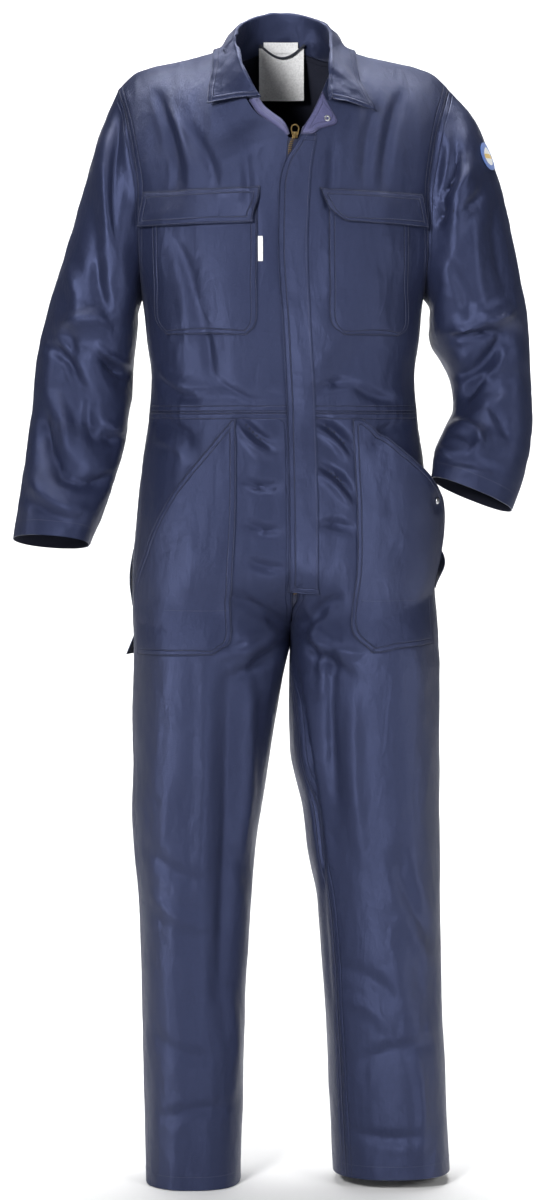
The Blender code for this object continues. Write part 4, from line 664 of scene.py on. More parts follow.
def trunk_spot(x, z, behind=False):
    """Rough places on the front (or back) of the trunk at a width and a height."""
    x, z = np.broadcast_arrays(np.asarray(x, dtype=float), np.asarray(z, dtype=float))
    share = np.minimum(1.0, np.abs(x) / track(TRUNK, "z", "half_width", z))
    depth = track(TRUNK, "z", "back" if behind else "front", z)
    y = depth * (1 - share ** SECTION_POWER) ** (1 / SECTION_POWER)
    return np.stack([x, y if behind else -y, z], axis=-1)


# ---------------------------------------------------------------- cloth
def below_shoulder(points):
    """Places inside the trunk that stay below the shoulders."""
    return points * (0.6, 0, 0) + np.stack([0 * points[..., 0], 0 * points[..., 0],
                                            np.minimum(points[..., 2], -0.12)], axis=-1)


def leg_axis(side):
    return lambda points: points * (0, 0, 1) + (side * 0.11, 0, 0)


def sleeve_axis(side):
    rows = LEFT_SLEEVE if side > 0 else RIGHT_SLEEVE
    middles = np.array([(side * (r.outer_x + r.inner_x) / 2, r.y, (r.outer_z + r.inner_z) / 2)
                        for r in rows])
    return lambda points: middles[np.argmin(np.linalg.norm(points[..., None, :] - middles, axis=-1), axis=-1)]


class Cloth:
    """A cut piece: a grid of points on its outer face, and which way that face looks.

    closed joins the last column to the first. sewn names the borders at seams: top,
    bottom, first (column) and last (column).
    """

    def __init__(self, name, points, inside, closed=False, sewn=()):
        self.name, self.points, self.closed, self.sewn = name, np.array(points, dtype=float), closed, sewn
        faces, middles = self.faces()
        self.sign = 1.0 if (faces * (middles - inside(middles))).sum() > 0 else -1.0
        self.normals = unit(self.normal_sums())

    def wrapped(self):
        return np.concatenate([self.points, self.points[:, :1]], axis=1) if self.closed else self.points

    def faces(self):
        p = self.wrapped()
        a, b, c, d = p[:-1, :-1], p[1:, :-1], p[1:, 1:], p[:-1, 1:]
        return np.cross(c - a, d - b) / 2, (a + b + c + d) / 4

    def normal_sums(self):
        faces = self.faces()[0] * self.sign
        sums = np.zeros(self.points.shape)
        if self.closed:
            faces = faces + np.roll(faces, 1, axis=1)
            sums[:-1] += faces
            sums[1:] += faces
            return sums
        for rows in (slice(None, -1), slice(1, None)):
            for columns in (slice(None, -1), slice(1, None)):
                sums[rows, columns] += faces
        return sums

    def quads(self):
        """Corner numbers of each face, in the order that looks outwards."""
        rows, columns = self.points.shape[:2]
        i, j = np.meshgrid(np.arange(rows - 1), np.arange(columns if self.closed else columns - 1),
                           indexing="ij")
        k = (j + 1) % columns
        quads = np.stack([i * columns + j, (i + 1) * columns + j, (i + 1) * columns + k, i * columns + k],
                         axis=-1).reshape(-1, 4)
        return quads if self.sign > 0 else quads[:, ::-1]

    def runs(self):
        """Length along the rows and along the columns, up to each point."""
        across = np.linalg.norm(np.diff(self.points, axis=1), axis=-1)
        down = np.linalg.norm(np.diff(self.points, axis=0), axis=-1)
        return (np.pad(np.cumsum(across, axis=1), ((0, 0), (1, 0))),
                np.pad(np.cumsum(down, axis=0), ((1, 0), (0, 0))))

    def seam_distances(self):
        """Distance of each point from the nearest sewn border, and its place along that border."""
        across, down = self.runs()
        distance, run = np.full(across.shape, 9.0), np.zeros(across.shape)
        for border, away, place in (("top", down, across), ("bottom", down[-1] - down, across),
                                    ("first", across, down), ("last", across[:, -1:] - across, down)):
            if border in self.sewn:
                nearer = away < distance
                distance, run = np.where(nearer, away, distance), np.where(nearer, place, run)
        if self.closed:          # the sleeve's own seam, under the arm
            away = np.abs(across - across[:, self.seam_column][:, None])
            nearer = away < distance
            distance, run = np.where(nearer, away, distance), np.where(nearer, down, run)
        return distance, run

    @property
    def seam_column(self):
        return self.points.shape[1] // 2

    def area(self):
        return float(np.linalg.norm(self.faces()[0], axis=-1).sum())

    def cut(self):
        """Width, length and area of the flat piece."""
        across, down = self.runs()
        width = across[:, -1].max()
        if self.closed:
            width += np.linalg.norm(self.points[:, 0] - self.points[:, -1], axis=-1).max()
        return (round(float(width), 3), round(float(down[-1].max()), 3)), self.area()


def shared_normals(cloths):
    """Set the cloths' normals, averaged with their neighbours' at the points of seams."""
    points = np.concatenate([cloth.points.reshape(-1, 3) for cloth in cloths])
    sums = np.concatenate([cloth.normal_sums().reshape(-1, 3) for cloth in cloths])
    _, same = np.unique(np.round(points * 2e4).astype(int), axis=0, return_inverse=True)
    total = np.zeros((same.max() + 1, 3))
    np.add.at(total, same.ravel(), sums)
    normals = total[same.ravel()]
    ridge = (np.abs(points[:, 1]) < 1e-6) & (points[:, 2] > SHOULDER_TIP_Z)
    normals[ridge, 1] = 0        # the shoulder seam runs along the ridge
    first = 0
    for cloth in cloths:
        count = cloth.points.shape[0] * cloth.points.shape[1]
        cloth.normals = unit(normals[first:first + count]).reshape(cloth.points.shape)
        first += count


def fold_heights(points, normals, rows, sharpness, spread=1.0):
    """How far a table of folds, all widened by a spread, lifts the cloth at each point."""
    total = np.zeros(points.shape[:-1])
    for fold in rows:
        start, end = np.array((fold.x0, fold.z0)), np.array((fold.x1, fold.z1))
        length = np.linalg.norm(end - start)
        way = (end - start) / length
        offset = points[..., [0, 2]] - start
        along = offset @ way / length
        bow = np.where((along > 0) & (along < 1), fold.bow * 4 * along * (1 - along), 0.0)
        beyond = np.maximum(0, np.maximum(-along, along - 1)) * length
        near = np.hypot(offset @ np.array((-way[1], way[0])) - bow, beyond) / (fold.width * spread)
        taper = 0.35 + 0.65 * np.sin(math.pi * np.clip(along, 0, 1)) ** 0.7
        facing = np.clip((normals[..., 1] * fold.face - 0.1) / 0.5, 0, 1)
        total += fold.height * taper * facing * (1 - np.minimum(near, 1) ** sharpness) ** 2
    return total


def bodice_grid(side, face):
    """Rows from the shoulder down to the waist, columns from the centre to the armhole."""
    columns = np.linspace(0, 1, round(PANEL_SPAN / PITCH) + 1)
    upper = bodice_surface(columns[None, :], bodice_levels()[::-1, None], side, face)
    z = np.linspace(UNDERARM_Z, WAIST_Z, round((UNDERARM_Z - WAIST_Z) / PITCH) + 1)[1:]
    u, z = np.broadcast_arrays(columns[None, :], z[:, None])
    return np.concatenate([upper, trunk_surface(u, z, side, face)])


def bodice_levels():
    count = len(BODICE_LEVELS)
    return np.interp(np.linspace(0, count - 1, (count - 1) * FINER + 1), np.arange(count), BODICE_LEVELS)


def trouser_grid(side, face):
    """Rows from the waist down to the hem, columns from the centre or inseam to the side."""
    hem_z = min(row.z for row in (LEFT_LEG if side > 0 else RIGHT_LEG))
    columns = np.linspace(0, 1, round(PANEL_SPAN / PITCH) + 1)
    z = np.linspace(WAIST_Z, hem_z, round((WAIST_Z - hem_z) / PITCH) + 1)
    return trouser_surface(columns[None, :], z[:, None], side, face)


def sleeve_ring(row, side, count):
    centre = np.array(((row.outer_x + row.inner_x) / 2, row.y, (row.outer_z + row.inner_z) / 2))
    arm = np.array(((row.outer_x - row.inner_x) / 2, 0, (row.outer_z - row.inner_z) / 2))
    angle = math.tau * np.arange(count) / count
    along = powered(np.cos(angle), 2 / RING_POWER)[:, None]
    forward = powered(np.sin(angle), 2 / RING_POWER)[:, None]
    return (centre + arm * along + (0, -row.depth, row.lift) * forward) * (side, 1, 1)


def sleeve_grid(side):
    """Rows from the armhole down to the cuff, columns round the arm from the shoulder tip."""
    levels = bodice_levels()
    front, back = bodice_surface(1, levels[::-1], side, -1), bodice_surface(1, levels, side, 1)
    seam = np.concatenate([front, back[1:-1]])
    rows = LEFT_SLEEVE if side > 0 else RIGHT_SLEEVE
    rings = np.array([seam] + [sleeve_ring(row, side, len(seam)) for row in rows])
    return spline(rings, (len(rings) - 1) * SLEEVE_STEPS + 1)


def body_cloths(crease):
    """The panels of bodice, trousers and sleeves, with their folds."""
    cloths = []
    for word, side in (("right", -1), ("left", 1)):
        cloths.append(Cloth(f"bodice_front_{word}_cloth", bodice_grid(side, -1), below_shoulder,
                            sewn=("top", "bottom", "last")))
    back = np.concatenate([bodice_grid(-1, 1)[:, ::-1][:, :-1], bodice_grid(1, 1)], axis=1)
    cloths.append(Cloth("bodice_back_cloth", back, below_shoulder, sewn=("top", "bottom", "first", "last")))
    for word, side in (("right", -1), ("left", 1)):
        for place, face in (("front", -1), ("back", 1)):
            cloths.append(Cloth(f"leg_{place}_{word}_cloth", trouser_grid(side, face), leg_axis(side),
                                sewn=("top", "first", "last")))
    for word, side in (("right", -1), ("left", 1)):
        cloths.append(Cloth(f"sleeve_{word}_cloth", sleeve_grid(side), sleeve_axis(side), closed=True,
                            sewn=("top",)))
    shared_normals(cloths)
    for cloth in cloths:
        points, normals = cloth.points, cloth.normals
        height = FOLD_STRENGTH * fold_heights(points, normals, FOLDS, FOLD_SHARPNESS)
        height += crease * fold_heights(points, normals, FINE_FOLDS, FINE_SHARPNESS, FINE_SPREAD)
        stretch = (1.6, 1.0, 0.5) if "sleeve" not in cloth.name else (0.8, 1.0, 1.3)
        height += 0.0011 * undulation(points, 26, stretch) + 0.0005 * undulation(points, 70, stretch)
        distance, run = cloth.seam_distances()
        pucker = np.sin(run * 430 + 3 * undulation(points, 31)) * np.exp(-distance / 0.009)
        height += 0.00045 * pucker * np.clip(distance / 0.003, 0, 1)
        cloth.points = points + normals * height[..., None]
    shared_normals(cloths)
    return {cloth.name: cloth for cloth in cloths}


# ---------------------------------------------------------------- laid pieces
def outer_skin(cloths):
    """Search tree over the outer faces of cloths."""
    points, polygons = [], []
    for cloth in cloths:
        polygons += (cloth.quads() + len(points)).tolist()
        points += cloth.points.reshape(-1, 3).tolist()
    return BVHTree.FromPolygons(points, polygons)


def lay(skin, spots, lift):
    """Rough places moved on to the skin and out from it by a lift, one value or one a place."""
    spots = np.array(spots, dtype=float)
    lifts = np.broadcast_to(lift, spots.shape[:-1])
    out = np.empty_like(spots)
    for index in np.ndindex(spots.shape[:-1]):
        place, normal, _, _ = skin.find_nearest(Vector(spots[index]))
        out[index] = place + normal * float(lifts[index])
    return out


def eased(points, rounds=2):
    """A grid with its unevenness smoothed out, its outline kept."""
    points = points.copy()
    for _ in range(rounds):
        inner = (points[:-2, 1:-1] + points[2:, 1:-1] + points[1:-1, :-2] + points[1:-1, 2:]) / 4
        points[1:-1, 1:-1] = (points[1:-1, 1:-1] + inner) / 2
        for border in (points[0], points[-1], points[:, 0], points[:, -1]):
            border[1:-1] = border[1:-1] * 0.5 + (border[:-2] + border[2:]) * 0.25
    return points


def patch_spots(edges, behind=False):
    """Grid of rough places between two edges, each a list of (x, z) from top to bottom."""
    first, last = (np.array([(x, 0, z) for x, z in edge]) for edge in edges)
    height = np.linalg.norm(np.diff(first, axis=0), axis=1).sum()
    width = np.linalg.norm(first - last, axis=1).max()
    rows, columns = max(4, round(height / PITCH * 1.2)), max(4, round(width / PITCH * 1.2))
    first, last = spline(first, rows + 1), spline(last, rows + 1)
    share = np.linspace(0, 1, columns + 1)[None, :, None]
    places = first[:, None] * (1 - share) + last[:, None] * share
    return trunk_spot(places[..., 0], places[..., 2], behind)


def borders(points):
    """Shares down and across a grid, as a column and a row."""
    return np.linspace(0, 1, points.shape[0])[:, None], np.linspace(0, 1, points.shape[1])[None, :]


def crown(points, height):
    """Lift that swells from nothing at the borders to a height in the middle."""
    v, u = borders(points)
    return height * (np.sin(math.pi * u) * np.sin(math.pi * v)) ** 0.5


def laid_cloth(name, skin, spots, lift, wall, inside=below_shoulder, sewn=("top", "bottom", "first", "last")):
    """A patch of cloth over a skin, its underside at the lift."""
    return Cloth(name, eased(lay(skin, spots, np.asarray(lift) + wall)), inside, sewn=sewn)


def press_under(cloth, stud):
    """Press a cloth in round a stud, so that the stud stands on it."""
    corners = np.array([stud.matrix_world @ vertex.co for vertex in stud.data.vertices])
    centre = corners.mean(axis=0)
    way = np.linalg.svd(corners - centre)[2][-1]      # the stud's thin direction
    way *= np.sign(way @ (centre * (1, 1, 0)))
    foot = ((corners - centre) @ way).min() - SEAM_GAP
    offset = cloth.points - centre
    high = offset @ way
    away = np.linalg.norm(offset - high[..., None] * way, axis=-1)
    share = np.clip((STUD_DIMPLE - away) / (STUD_DIMPLE - STUD_SEAT), 0, 1)
    share = share * share * (3 - 2 * share) * (np.abs(high) < STUD_DIMPLE)
    cloth.points = cloth.points - way * (share * np.maximum(0, high - foot))[..., None]
    cloth.normals = unit(cloth.normal_sums())


# ---------------------------------------------------------------- collar
def neck_edge():
    """The panels' neck edges as one path, from the right front round the back to the left."""
    levels = np.array([level for level in BODICE_LEVELS if level > V_LEVEL])
    right, left = (bodice_surface(0, levels, side, -1) for side in (-1, 1))
    back = np.concatenate([bodice_surface(np.linspace(1, 0, 61), 1.0, -1, 1),
                           bodice_surface(np.linspace(0, 1, 61)[1:], 1.0, 1, 1)])
    back = back[np.abs(back[:, 0]) < NECK_FRONT[-1].left]
    return np.concatenate([right, back, left[::-1]])


def collar_rows():
    """Rows from the neck seam over the fold to the leaf's edge, columns round the neck."""
    fold = spline([(r.fold_x, r.fold_y, r.fold_z) for r in COLLAR], COLLAR_COLUMNS)
    edge = spline([(r.edge_x, r.edge_y, r.edge_z) for r in COLLAR], COLLAR_COLUMNS)
    run = np.concatenate([[0], np.cumsum(np.linalg.norm(np.diff(fold, axis=0), axis=1))])
    seam = along_path(neck_edge(), np.interp(run, (0, run[-1]), COLLAR_SEAM))
    rows = []
    for s, f, e in zip(seam, fold, edge):
        out = unit((e - f) * (1, 1, 0))
        rolled = f + out * 0.006
        rows.append([s + out * COLLAR_TURNING, s, s * 0.5 + f * 0.5, f, f + out * 0.003 + (0, 0, 0.003),
                     rolled + (0, 0, 0.001), rolled * 0.7 + e * 0.3 + out * 0.002 + (0, 0, 0.002),
                     rolled * 0.33 + e * 0.67 + out * 0.001 + (0, 0, 0.001), e])
    return np.array(rows).transpose(1, 0, 2)


def keep_clear(points, skin, clearance, reach=0.02):
    """Move points that are under the skin, or nearer to it than the clearance, out of it."""
    out = points.copy()
    for index in np.ndindex(points.shape[:-1]):
        point = Vector(points[index])
        place, normal, _, distance = skin.find_nearest(point)
        if distance < clearance or (distance < reach and (point - place).dot(normal) < clearance):
            out[index] = place + normal * clearance
    return out


def collar_points(skin):
    points = collar_rows()
    points[:2] = keep_clear(points[:2], skin, COLLAR_SEAM_CLEARANCE)
    points[2:] = keep_clear(points[2:], skin, COLLAR_CLEARANCE)
    outwards = points[0] - points[1]
    points[1] -= unit(outwards) * COLLAR_SEAM_INSET
    fine = refined(points, 5, 5)
    fine[12:] = keep_clear(fine[12:], skin, COLLAR_CLEARANCE * 0.7)
    soft = 0.0014 * undulation(fine, 55) + 0.0007 * undulation(fine, 140)
    soft[:6] = 0
    leaf = Cloth("collar_shape", fine, below_shoulder)
    return fine + leaf.normals * soft[..., None]


# ---------------------------------------------------------------- meshes
def add_object(name, mesh, *finishes):
    made = bpy.data.objects.new(name, mesh)
    bpy.context.scene.collection.objects.link(made)
    for finish in finishes:
        mesh.materials.append(finish)
    return made


def plain_mesh(made):
    """Replace an object that has modifiers, or is a curve, by its finished plain mesh."""
    graph = bpy.context.evaluated_depsgraph_get()
    mesh = bpy.data.meshes.new_from_object(made.evaluated_get(graph), depsgraph=graph)
    name = made.name
    bpy.data.objects.remove(made, do_unlink=True)
    mesh.name = name
    finished = bpy.data.objects.new(name, mesh)
    bpy.context.scene.collection.objects.link(finished)
    return finished


def weave_coordinates(cloth):
    """Place of each point on the flat cloth, in metres, from its middle column."""
    across, down = cloth.runs()
    middle = across.shape[1] // 2
    return np.stack([across - across[:, middle:middle + 1], down[:, middle:middle + 1] + 0 * down], axis=-1)


def cloth_object(cloth, wall, outside, inside):
    """Closed wall of cloth behind a grid, with its weave's UV map and its seam attributes."""
    rows, columns = cloth.points.shape[:2]
    count = rows * columns
    points = cloth.points.reshape(-1, 3)
    inner = points - cloth.normals.reshape(-1, 3) * wall
    quads = cloth.quads()
    numbers = np.arange(count).reshape(rows, columns)
    rims = []
    outline = [numbers[0], numbers[-1][::-1]]
    if not cloth.closed:
        outline += [numbers[::-1, 0], numbers[:, -1]]
    for line in outline:
        if cloth.closed:
            line = np.append(line, line[0])
        rims.append(np.stack([line[:-1], line[1:], line[1:] + count, line[:-1] + count], axis=-1))
    rims = np.concatenate(rims)
    if cloth.sign < 0:
        rims = rims[:, ::-1]
    faces = np.concatenate([quads, quads[:, ::-1] + count, rims[:, ::-1]])
    mesh = bpy.data.meshes.new(cloth.name)
    mesh.from_pydata(np.concatenate([points, inner]).tolist(), [], faces.tolist())
    mesh.polygons.foreach_set("material_index", np.repeat((0, 1, 0), (len(quads), len(quads), len(rims))))
    weave = np.tile(weave_coordinates(cloth).reshape(-1, 2), (2, 1))
    corners = np.empty(len(mesh.loops), dtype=np.int32)
    mesh.loops.foreach_get("vertex_index", corners)
    mesh.uv_layers.new(name="Weave").data.foreach_set("uv", weave[corners].ravel())
    for name, values in zip(("seam", "run"), cloth.seam_distances()):
        attribute = mesh.attributes.new(name, "FLOAT", "POINT")
        attribute.data.foreach_set("value", np.tile(values.ravel(), 2))
    mesh.update()
    mesh.shade_smooth()
    mesh.set_sharp_from_angle(angle=math.radians(60))
    return add_object(cloth.name, mesh, outside, inside)


def line_object(name, paths):
    """Polylines as the edges of one mesh, to be followed by Geometry Nodes."""
    points, edges = [], []
    for path in paths:
        edges += [(len(points) + i, len(points) + i + 1) for i in range(len(path) - 1)]
        points += np.asarray(path).tolist()
    mesh = bpy.data.meshes.new(name)
    mesh.from_pydata(points, edges, [])
    return add_object(name, mesh)


def row_tree(name, shape):
    """Geometry Nodes that repeat a small shape along lines: a rounded stitch or a zip tooth."""
    tree = bpy.data.node_groups.new(name, "GeometryNodeTree")
    sockets = (("Lines", "INPUT", "NodeSocketGeometry"), ("Pitch", "INPUT", "NodeSocketFloat"),
               ("Size", "INPUT", "NodeSocketVector"), ("Finish", "INPUT", "NodeSocketMaterial"),
               ("Row", "OUTPUT", "NodeSocketGeometry"))
    for label, way, kind in sockets:
        tree.interface.new_socket(name=label, in_out=way, socket_type=kind)
    new, link = tree.nodes.new, tree.links.new
    given, result = new("NodeGroupInput"), new("NodeGroupOutput")
    curve, points = new("GeometryNodeMeshToCurve"), new("GeometryNodeCurveToPoints")
    points.mode = "LENGTH"
    turn, instances = new("FunctionNodeAlignRotationToVector"), new("GeometryNodeInstanceOnPoints")
    turn.axis = "Z"
    if shape == "stitch":
        item = new("GeometryNodeMeshUVSphere")
        item.inputs["Segments"].default_value = 5
        item.inputs["Rings"].default_value = 3
        item.inputs["Radius"].default_value = 0.5
    else:
        item = new("GeometryNodeMeshCylinder")
        item.inputs["Vertices"].default_value = 6
        item.inputs["Radius"].default_value = 0.5
        item.inputs["Depth"].default_value = 1.0
    realized, finish = new("GeometryNodeRealizeInstances"), new("GeometryNodeSetMaterial")
    link(given.outputs["Lines"], curve.inputs["Mesh"])
    link(curve.outputs["Curve"], points.inputs["Curve"])
    link(given.outputs["Pitch"], points.inputs["Length"])
    link(points.outputs["Points"], instances.inputs["Points"])
    link(points.outputs["Tangent"], turn.inputs["Vector"])
    link(turn.outputs["Rotation"], instances.inputs["Rotation"])
    link(item.outputs["Mesh"], instances.inputs["Instance"])
    link(given.outputs["Size"], instances.inputs["Scale"])
    link(instances.outputs["Instances"], realized.inputs["Geometry"])
    link(realized.outputs["Geometry"], finish.inputs["Geometry"])
    link(given.outputs["Finish"], finish.inputs["Material"])
    link(finish.outputs["Geometry"], result.inputs["Row"])
    return tree


def repeated(name, paths, tree, **values):
    """A small shape repeated along paths, as one plain mesh."""
    made = line_object(name, paths)
    modifier = made.modifiers.new("Row", "NODES")
    modifier.node_group = tree
    for item in tree.interface.items_tree:
        if item.in_out == "INPUT" and item.name in values:
            modifier[item.identifier] = values[item.name]
    made = plain_mesh(made)
    made.data.shade_smooth()
    return made


def tape_mesh(name, path, half_width, half_depth, across, finish):
    """A flat tape with rounded edges along a path; across is its width's direction."""
    path = np.asarray(path)
    way = unit(np.gradient(path, axis=0))
    face = unit(np.cross(way, across))
    side = np.cross(face, way)
    angles = math.tau * np.arange(10) / 10
    rings = (path[:, None] + side[:, None] * powered(np.cos(angles), 0.6)[None, :, None] * half_width
             + face[:, None] * powered(np.sin(angles), 0.8)[None, :, None] * half_depth)
    tube = Cloth(name, rings, lambda points: path[np.argmin(
        np.linalg.norm(points[..., None, :] - path, axis=-1), axis=-1)], closed=True)
    count = len(path) * 10
    faces = tube.quads().tolist()
    caps = [list(range(10)), list(range(count - 10, count))]
    caps[0 if tube.sign > 0 else 1].reverse()
    mesh = bpy.data.meshes.new(name)
    mesh.from_pydata(rings.reshape(-1, 3).tolist(), [], faces + caps)
    weave = weave_coordinates(tube).reshape(-1, 2)
    corners = np.empty(len(mesh.loops), dtype=np.int32)
    mesh.loops.foreach_get("vertex_index", corners)
    mesh.uv_layers.new(name="Weave").data.foreach_set("uv", weave[corners].ravel())
    mesh.update()
    mesh.shade_smooth()
    return add_object(name, mesh, finish)


# ---------------------------------------------------------------- stitch lines
def inset_path(cloth, border, distance, keep=None):
    """A line at a distance inside a border; keep says which of its points stay."""
    points = cloth.points + cloth.normals * 0.0001
    grid = points if border in ("first", "last") else points.transpose(1, 0, 2)
    if border in ("last", "bottom"):
        grid = grid[:, ::-1]
    out = []
    for line in grid:
        run = np.concatenate([[0], np.cumsum(np.linalg.norm(np.diff(line, axis=0), axis=1))])
        out.append([np.interp(distance, run, line[:, k]) for k in range(3)])
    out = np.array(out)
    return out if keep is None else out[keep(out)]


def trimmed(path, start, end):
    """A path without a length at each of its ends."""
    total = np.linalg.norm(np.diff(path, axis=0), axis=1).sum()
    count = max(4, round((total - start - end) / PITCH))
    return along_path(path, np.linspace(start / total, 1 - end / total, count))


def outline_paths(cloth, distances, sides=("first", "bottom", "last")):
    """Stitch lines inside the borders of a patch, each stopped short of the next border."""
    return [trimmed(inset_path(cloth, side, distance), distance, distance)
            for distance in distances for side in sides]


def skin_path(skin, spots):
    """A stitch line through rough places, on a skin."""
    spots = trimmed(np.array(spots, dtype=float), 0, 0)
    return np.array([place + normal * 0.0001 for place, normal, _, _ in
                     (skin.find_nearest(Vector(spot)) for spot in spots)])


# ---------------------------------------------------------------- shader effects
def group(name, inputs, outputs):
    tree = bpy.data.node_groups.new(name, "ShaderNodeTree")
    for label, kind, value in inputs:
        socket = tree.interface.new_socket(name=label, in_out="INPUT", socket_type=kind)
        if value is not None:
            socket.default_value = value
    for label, kind in outputs:
        tree.interface.new_socket(name=label, in_out="OUTPUT", socket_type=kind)
    return tree, tree.nodes.new("NodeGroupInput"), tree.nodes.new("NodeGroupOutput")


def feed(tree, socket, value):
    """Give a socket a constant or another node's output."""
    if isinstance(value, (int, float, tuple)):
        socket.default_value = value
    else:
        tree.links.new(value, socket)


def calculate(tree, operation, *values, clamp=False):
    """A Math node; each value is a number or another node's output."""
    node = tree.nodes.new("ShaderNodeMath")
    node.operation, node.use_clamp = operation, clamp
    for socket, value in zip(node.inputs, values):
        feed(tree, socket, value)
    return node.outputs["Value"]


def plus(tree, first, second):
    return calculate(tree, "ADD", first, second)


def minus(tree, first, second):
    return calculate(tree, "SUBTRACT", first, second)


def times(tree, first, second):
    return calculate(tree, "MULTIPLY", first, second)


def noise_node(tree, vector, scale, detail=2.0, stretch=None, distortion=0.0):
    if stretch is not None:
        mapping = tree.nodes.new("ShaderNodeMapping")
        mapping.inputs["Scale"].default_value = stretch
        tree.links.new(vector, mapping.inputs["Vector"])
        vector = mapping.outputs["Vector"]
    node = tree.nodes.new("ShaderNodeTexNoise")
    node.inputs["Scale"].default_value = scale
    node.inputs["Detail"].default_value = detail
    node.inputs["Distortion"].default_value = distortion
    tree.links.new(vector, node.inputs["Vector"])
    return node.outputs["Fac"]


def mix_colour(tree, share, first, second):
    node = tree.nodes.new("ShaderNodeMix")
    node.data_type = "RGBA"
    for label, value in (("Factor", share), ("A", first), ("B", second)):
        feed(tree, node.inputs[label], value)
    return node.outputs["Result"]


def twill_group():
    """Height of a satin twill's lines and yarns, on flat cloth coordinates in metres."""
    tree, given, result = group("Satin twill", (("Cloth", "NodeSocketVector", None),
                                                ("Lines", "NodeSocketFloat", 900.0)),
                                (("Height", "NodeSocketFloat"),))
    separate = tree.nodes.new("ShaderNodeSeparateXYZ")
    tree.links.new(given.outputs["Cloth"], separate.inputs["Vector"])
    u, v = separate.outputs["X"], separate.outputs["Y"]
    waver = times(tree, noise_node(tree, given.outputs["Cloth"], 160.0), 0.0012)
    slant = plus(tree, plus(tree, u, times(tree, v, 1.7)), waver)
    turns = times(tree, slant, given.outputs["Lines"])
    lines = calculate(tree, "SINE", times(tree, turns, math.tau))
    yarns = noise_node(tree, given.outputs["Cloth"], 1.0, 1.0, (2600.0, 260.0, 1.0))
    height = plus(tree, times(tree, lines, 0.5), times(tree, yarns, 0.9))
    tree.links.new(height, result.inputs["Height"])
    return tree


def crumple_group():
    """Height of the soft small creases of worn-in cloth, on object coordinates."""
    tree, given, result = group("Small creases", (("Place", "NodeSocketVector", None),),
                                (("Height", "NodeSocketFloat"),))
    place = given.outputs["Place"]
    broad = noise_node(tree, place, 34.0, 3.0, (1.0, 1.0, 0.6), 0.6)
    fine = noise_node(tree, place, 95.0, 3.0, (1.0, 1.0, 0.7), 0.8)
    swirls = noise_node(tree, place, 21.0, 2.0, (1.3, 1.0, 0.5), 1.0)
    ridges = calculate(tree, "ABSOLUTE", minus(tree, swirls, 0.5))
    height = plus(tree, broad, times(tree, fine, 0.35))
    height = minus(tree, height, times(tree, ridges, 1.1))
    tree.links.new(height, result.inputs["Height"])
    return tree


def seam_group():
    """Height of a felled seam or turned edge, and a painted shade in its stitch grooves and along its edge,
    from the distance and run attributes.
    """
    tree, given, result = group("Felled seam", (("Distance", "NodeSocketFloat", 1.0),
                                                ("Run", "NodeSocketFloat", 0.0)),
                                (("Height", "NodeSocketFloat"), ("Shade", "NodeSocketFloat")))
    distance, run = given.outputs["Distance"], given.outputs["Run"]

    def groove(place, half_width):
        away = calculate(tree, "ABSOLUTE", minus(tree, distance, place))
        return minus(tree, 1.0, calculate(tree, "DIVIDE", away, half_width, clamp=True))

    sunk = plus(tree, groove(SEAM_ROWS[0], 0.0011), groove(SEAM_ROWS[1], 0.0013))
    # Painted shade: the colour is darkened in the sunk stitch rows and in a thin dark line along the sewn
    # edge.
    painted_shade = plus(tree, times(tree, sunk, 0.45), groove(0.0, 0.0020))
    line = tree.nodes.new("ShaderNodeCombineXYZ")
    tree.links.new(run, line.inputs["X"])
    tree.links.new(times(tree, distance, 0.25), line.inputs["Y"])
    puckers = noise_node(tree, line.outputs["Vector"], 150.0, 1.0)
    near = minus(tree, 1.0, calculate(tree, "DIVIDE", distance, 0.026, clamp=True))
    height = minus(tree, times(tree, times(tree, puckers, near), 1.2), sunk)
    tree.links.new(height, result.inputs["Height"])
    tree.links.new(painted_shade, result.inputs["Shade"])
    return tree


def tone_group():
    """Colour that wavers softly over a surface, darkened where a painted shade is given."""
    tree, given, result = group("Cloth tone", (("Place", "NodeSocketVector", None),
                                               ("Colour", "NodeSocketColor", (0.5, 0.5, 0.5, 1.0)),
                                               ("Shade", "NodeSocketFloat", 0.0)),
                                (("Colour", "NodeSocketColor"), ("Shine", "NodeSocketFloat")))
    place, colour = given.outputs["Place"], given.outputs["Colour"]
    broad, fine = noise_node(tree, place, 7.0, 3.0), noise_node(tree, place, 420.0, 2.0)
    bright = plus(tree, times(tree, broad, 0.22), times(tree, fine, 0.50))
    # A painted shade, where one is given, darkens the colour.
    painted_shade = times(tree, given.outputs["Shade"], 0.6)
    bright = minus(tree, plus(tree, bright, 0.64), painted_shade)
    scale = tree.nodes.new("ShaderNodeVectorMath")
    scale.operation = "SCALE"
    tree.links.new(colour, scale.inputs["Vector"])
    tree.links.new(bright, scale.inputs["Scale"])
    tree.links.new(scale.outputs["Vector"], result.inputs["Colour"])
    shine = plus(tree, times(tree, broad, 0.16), times(tree, fine, 0.12))
    tree.links.new(shine, result.inputs["Shine"])
    return tree


def material(name, roughness, metallic=0.0):
    made = bpy.data.materials.new(name)
    made.use_nodes = True
    shader = made.node_tree.nodes["Principled BSDF"]
    shader.inputs["Roughness"].default_value = roughness
    shader.inputs["Metallic"].default_value = metallic
    return made, made.node_tree, shader


def place_group(tree, kind, **values):
    node = tree.nodes.new("ShaderNodeGroup")
    node.node_tree = bpy.data.node_groups[kind]
    for label, value in values.items():
        feed(tree, node.inputs[label], value)
    return node


def bump(tree, height, distance, under=None):
    node = tree.nodes.new("ShaderNodeBump")
    node.inputs["Distance"].default_value = distance
    node.inputs["Strength"].default_value = 1.0
    tree.links.new(height, node.inputs["Height"])
    if under is not None:
        tree.links.new(under, node.inputs["Normal"])
    return node.outputs["Normal"]


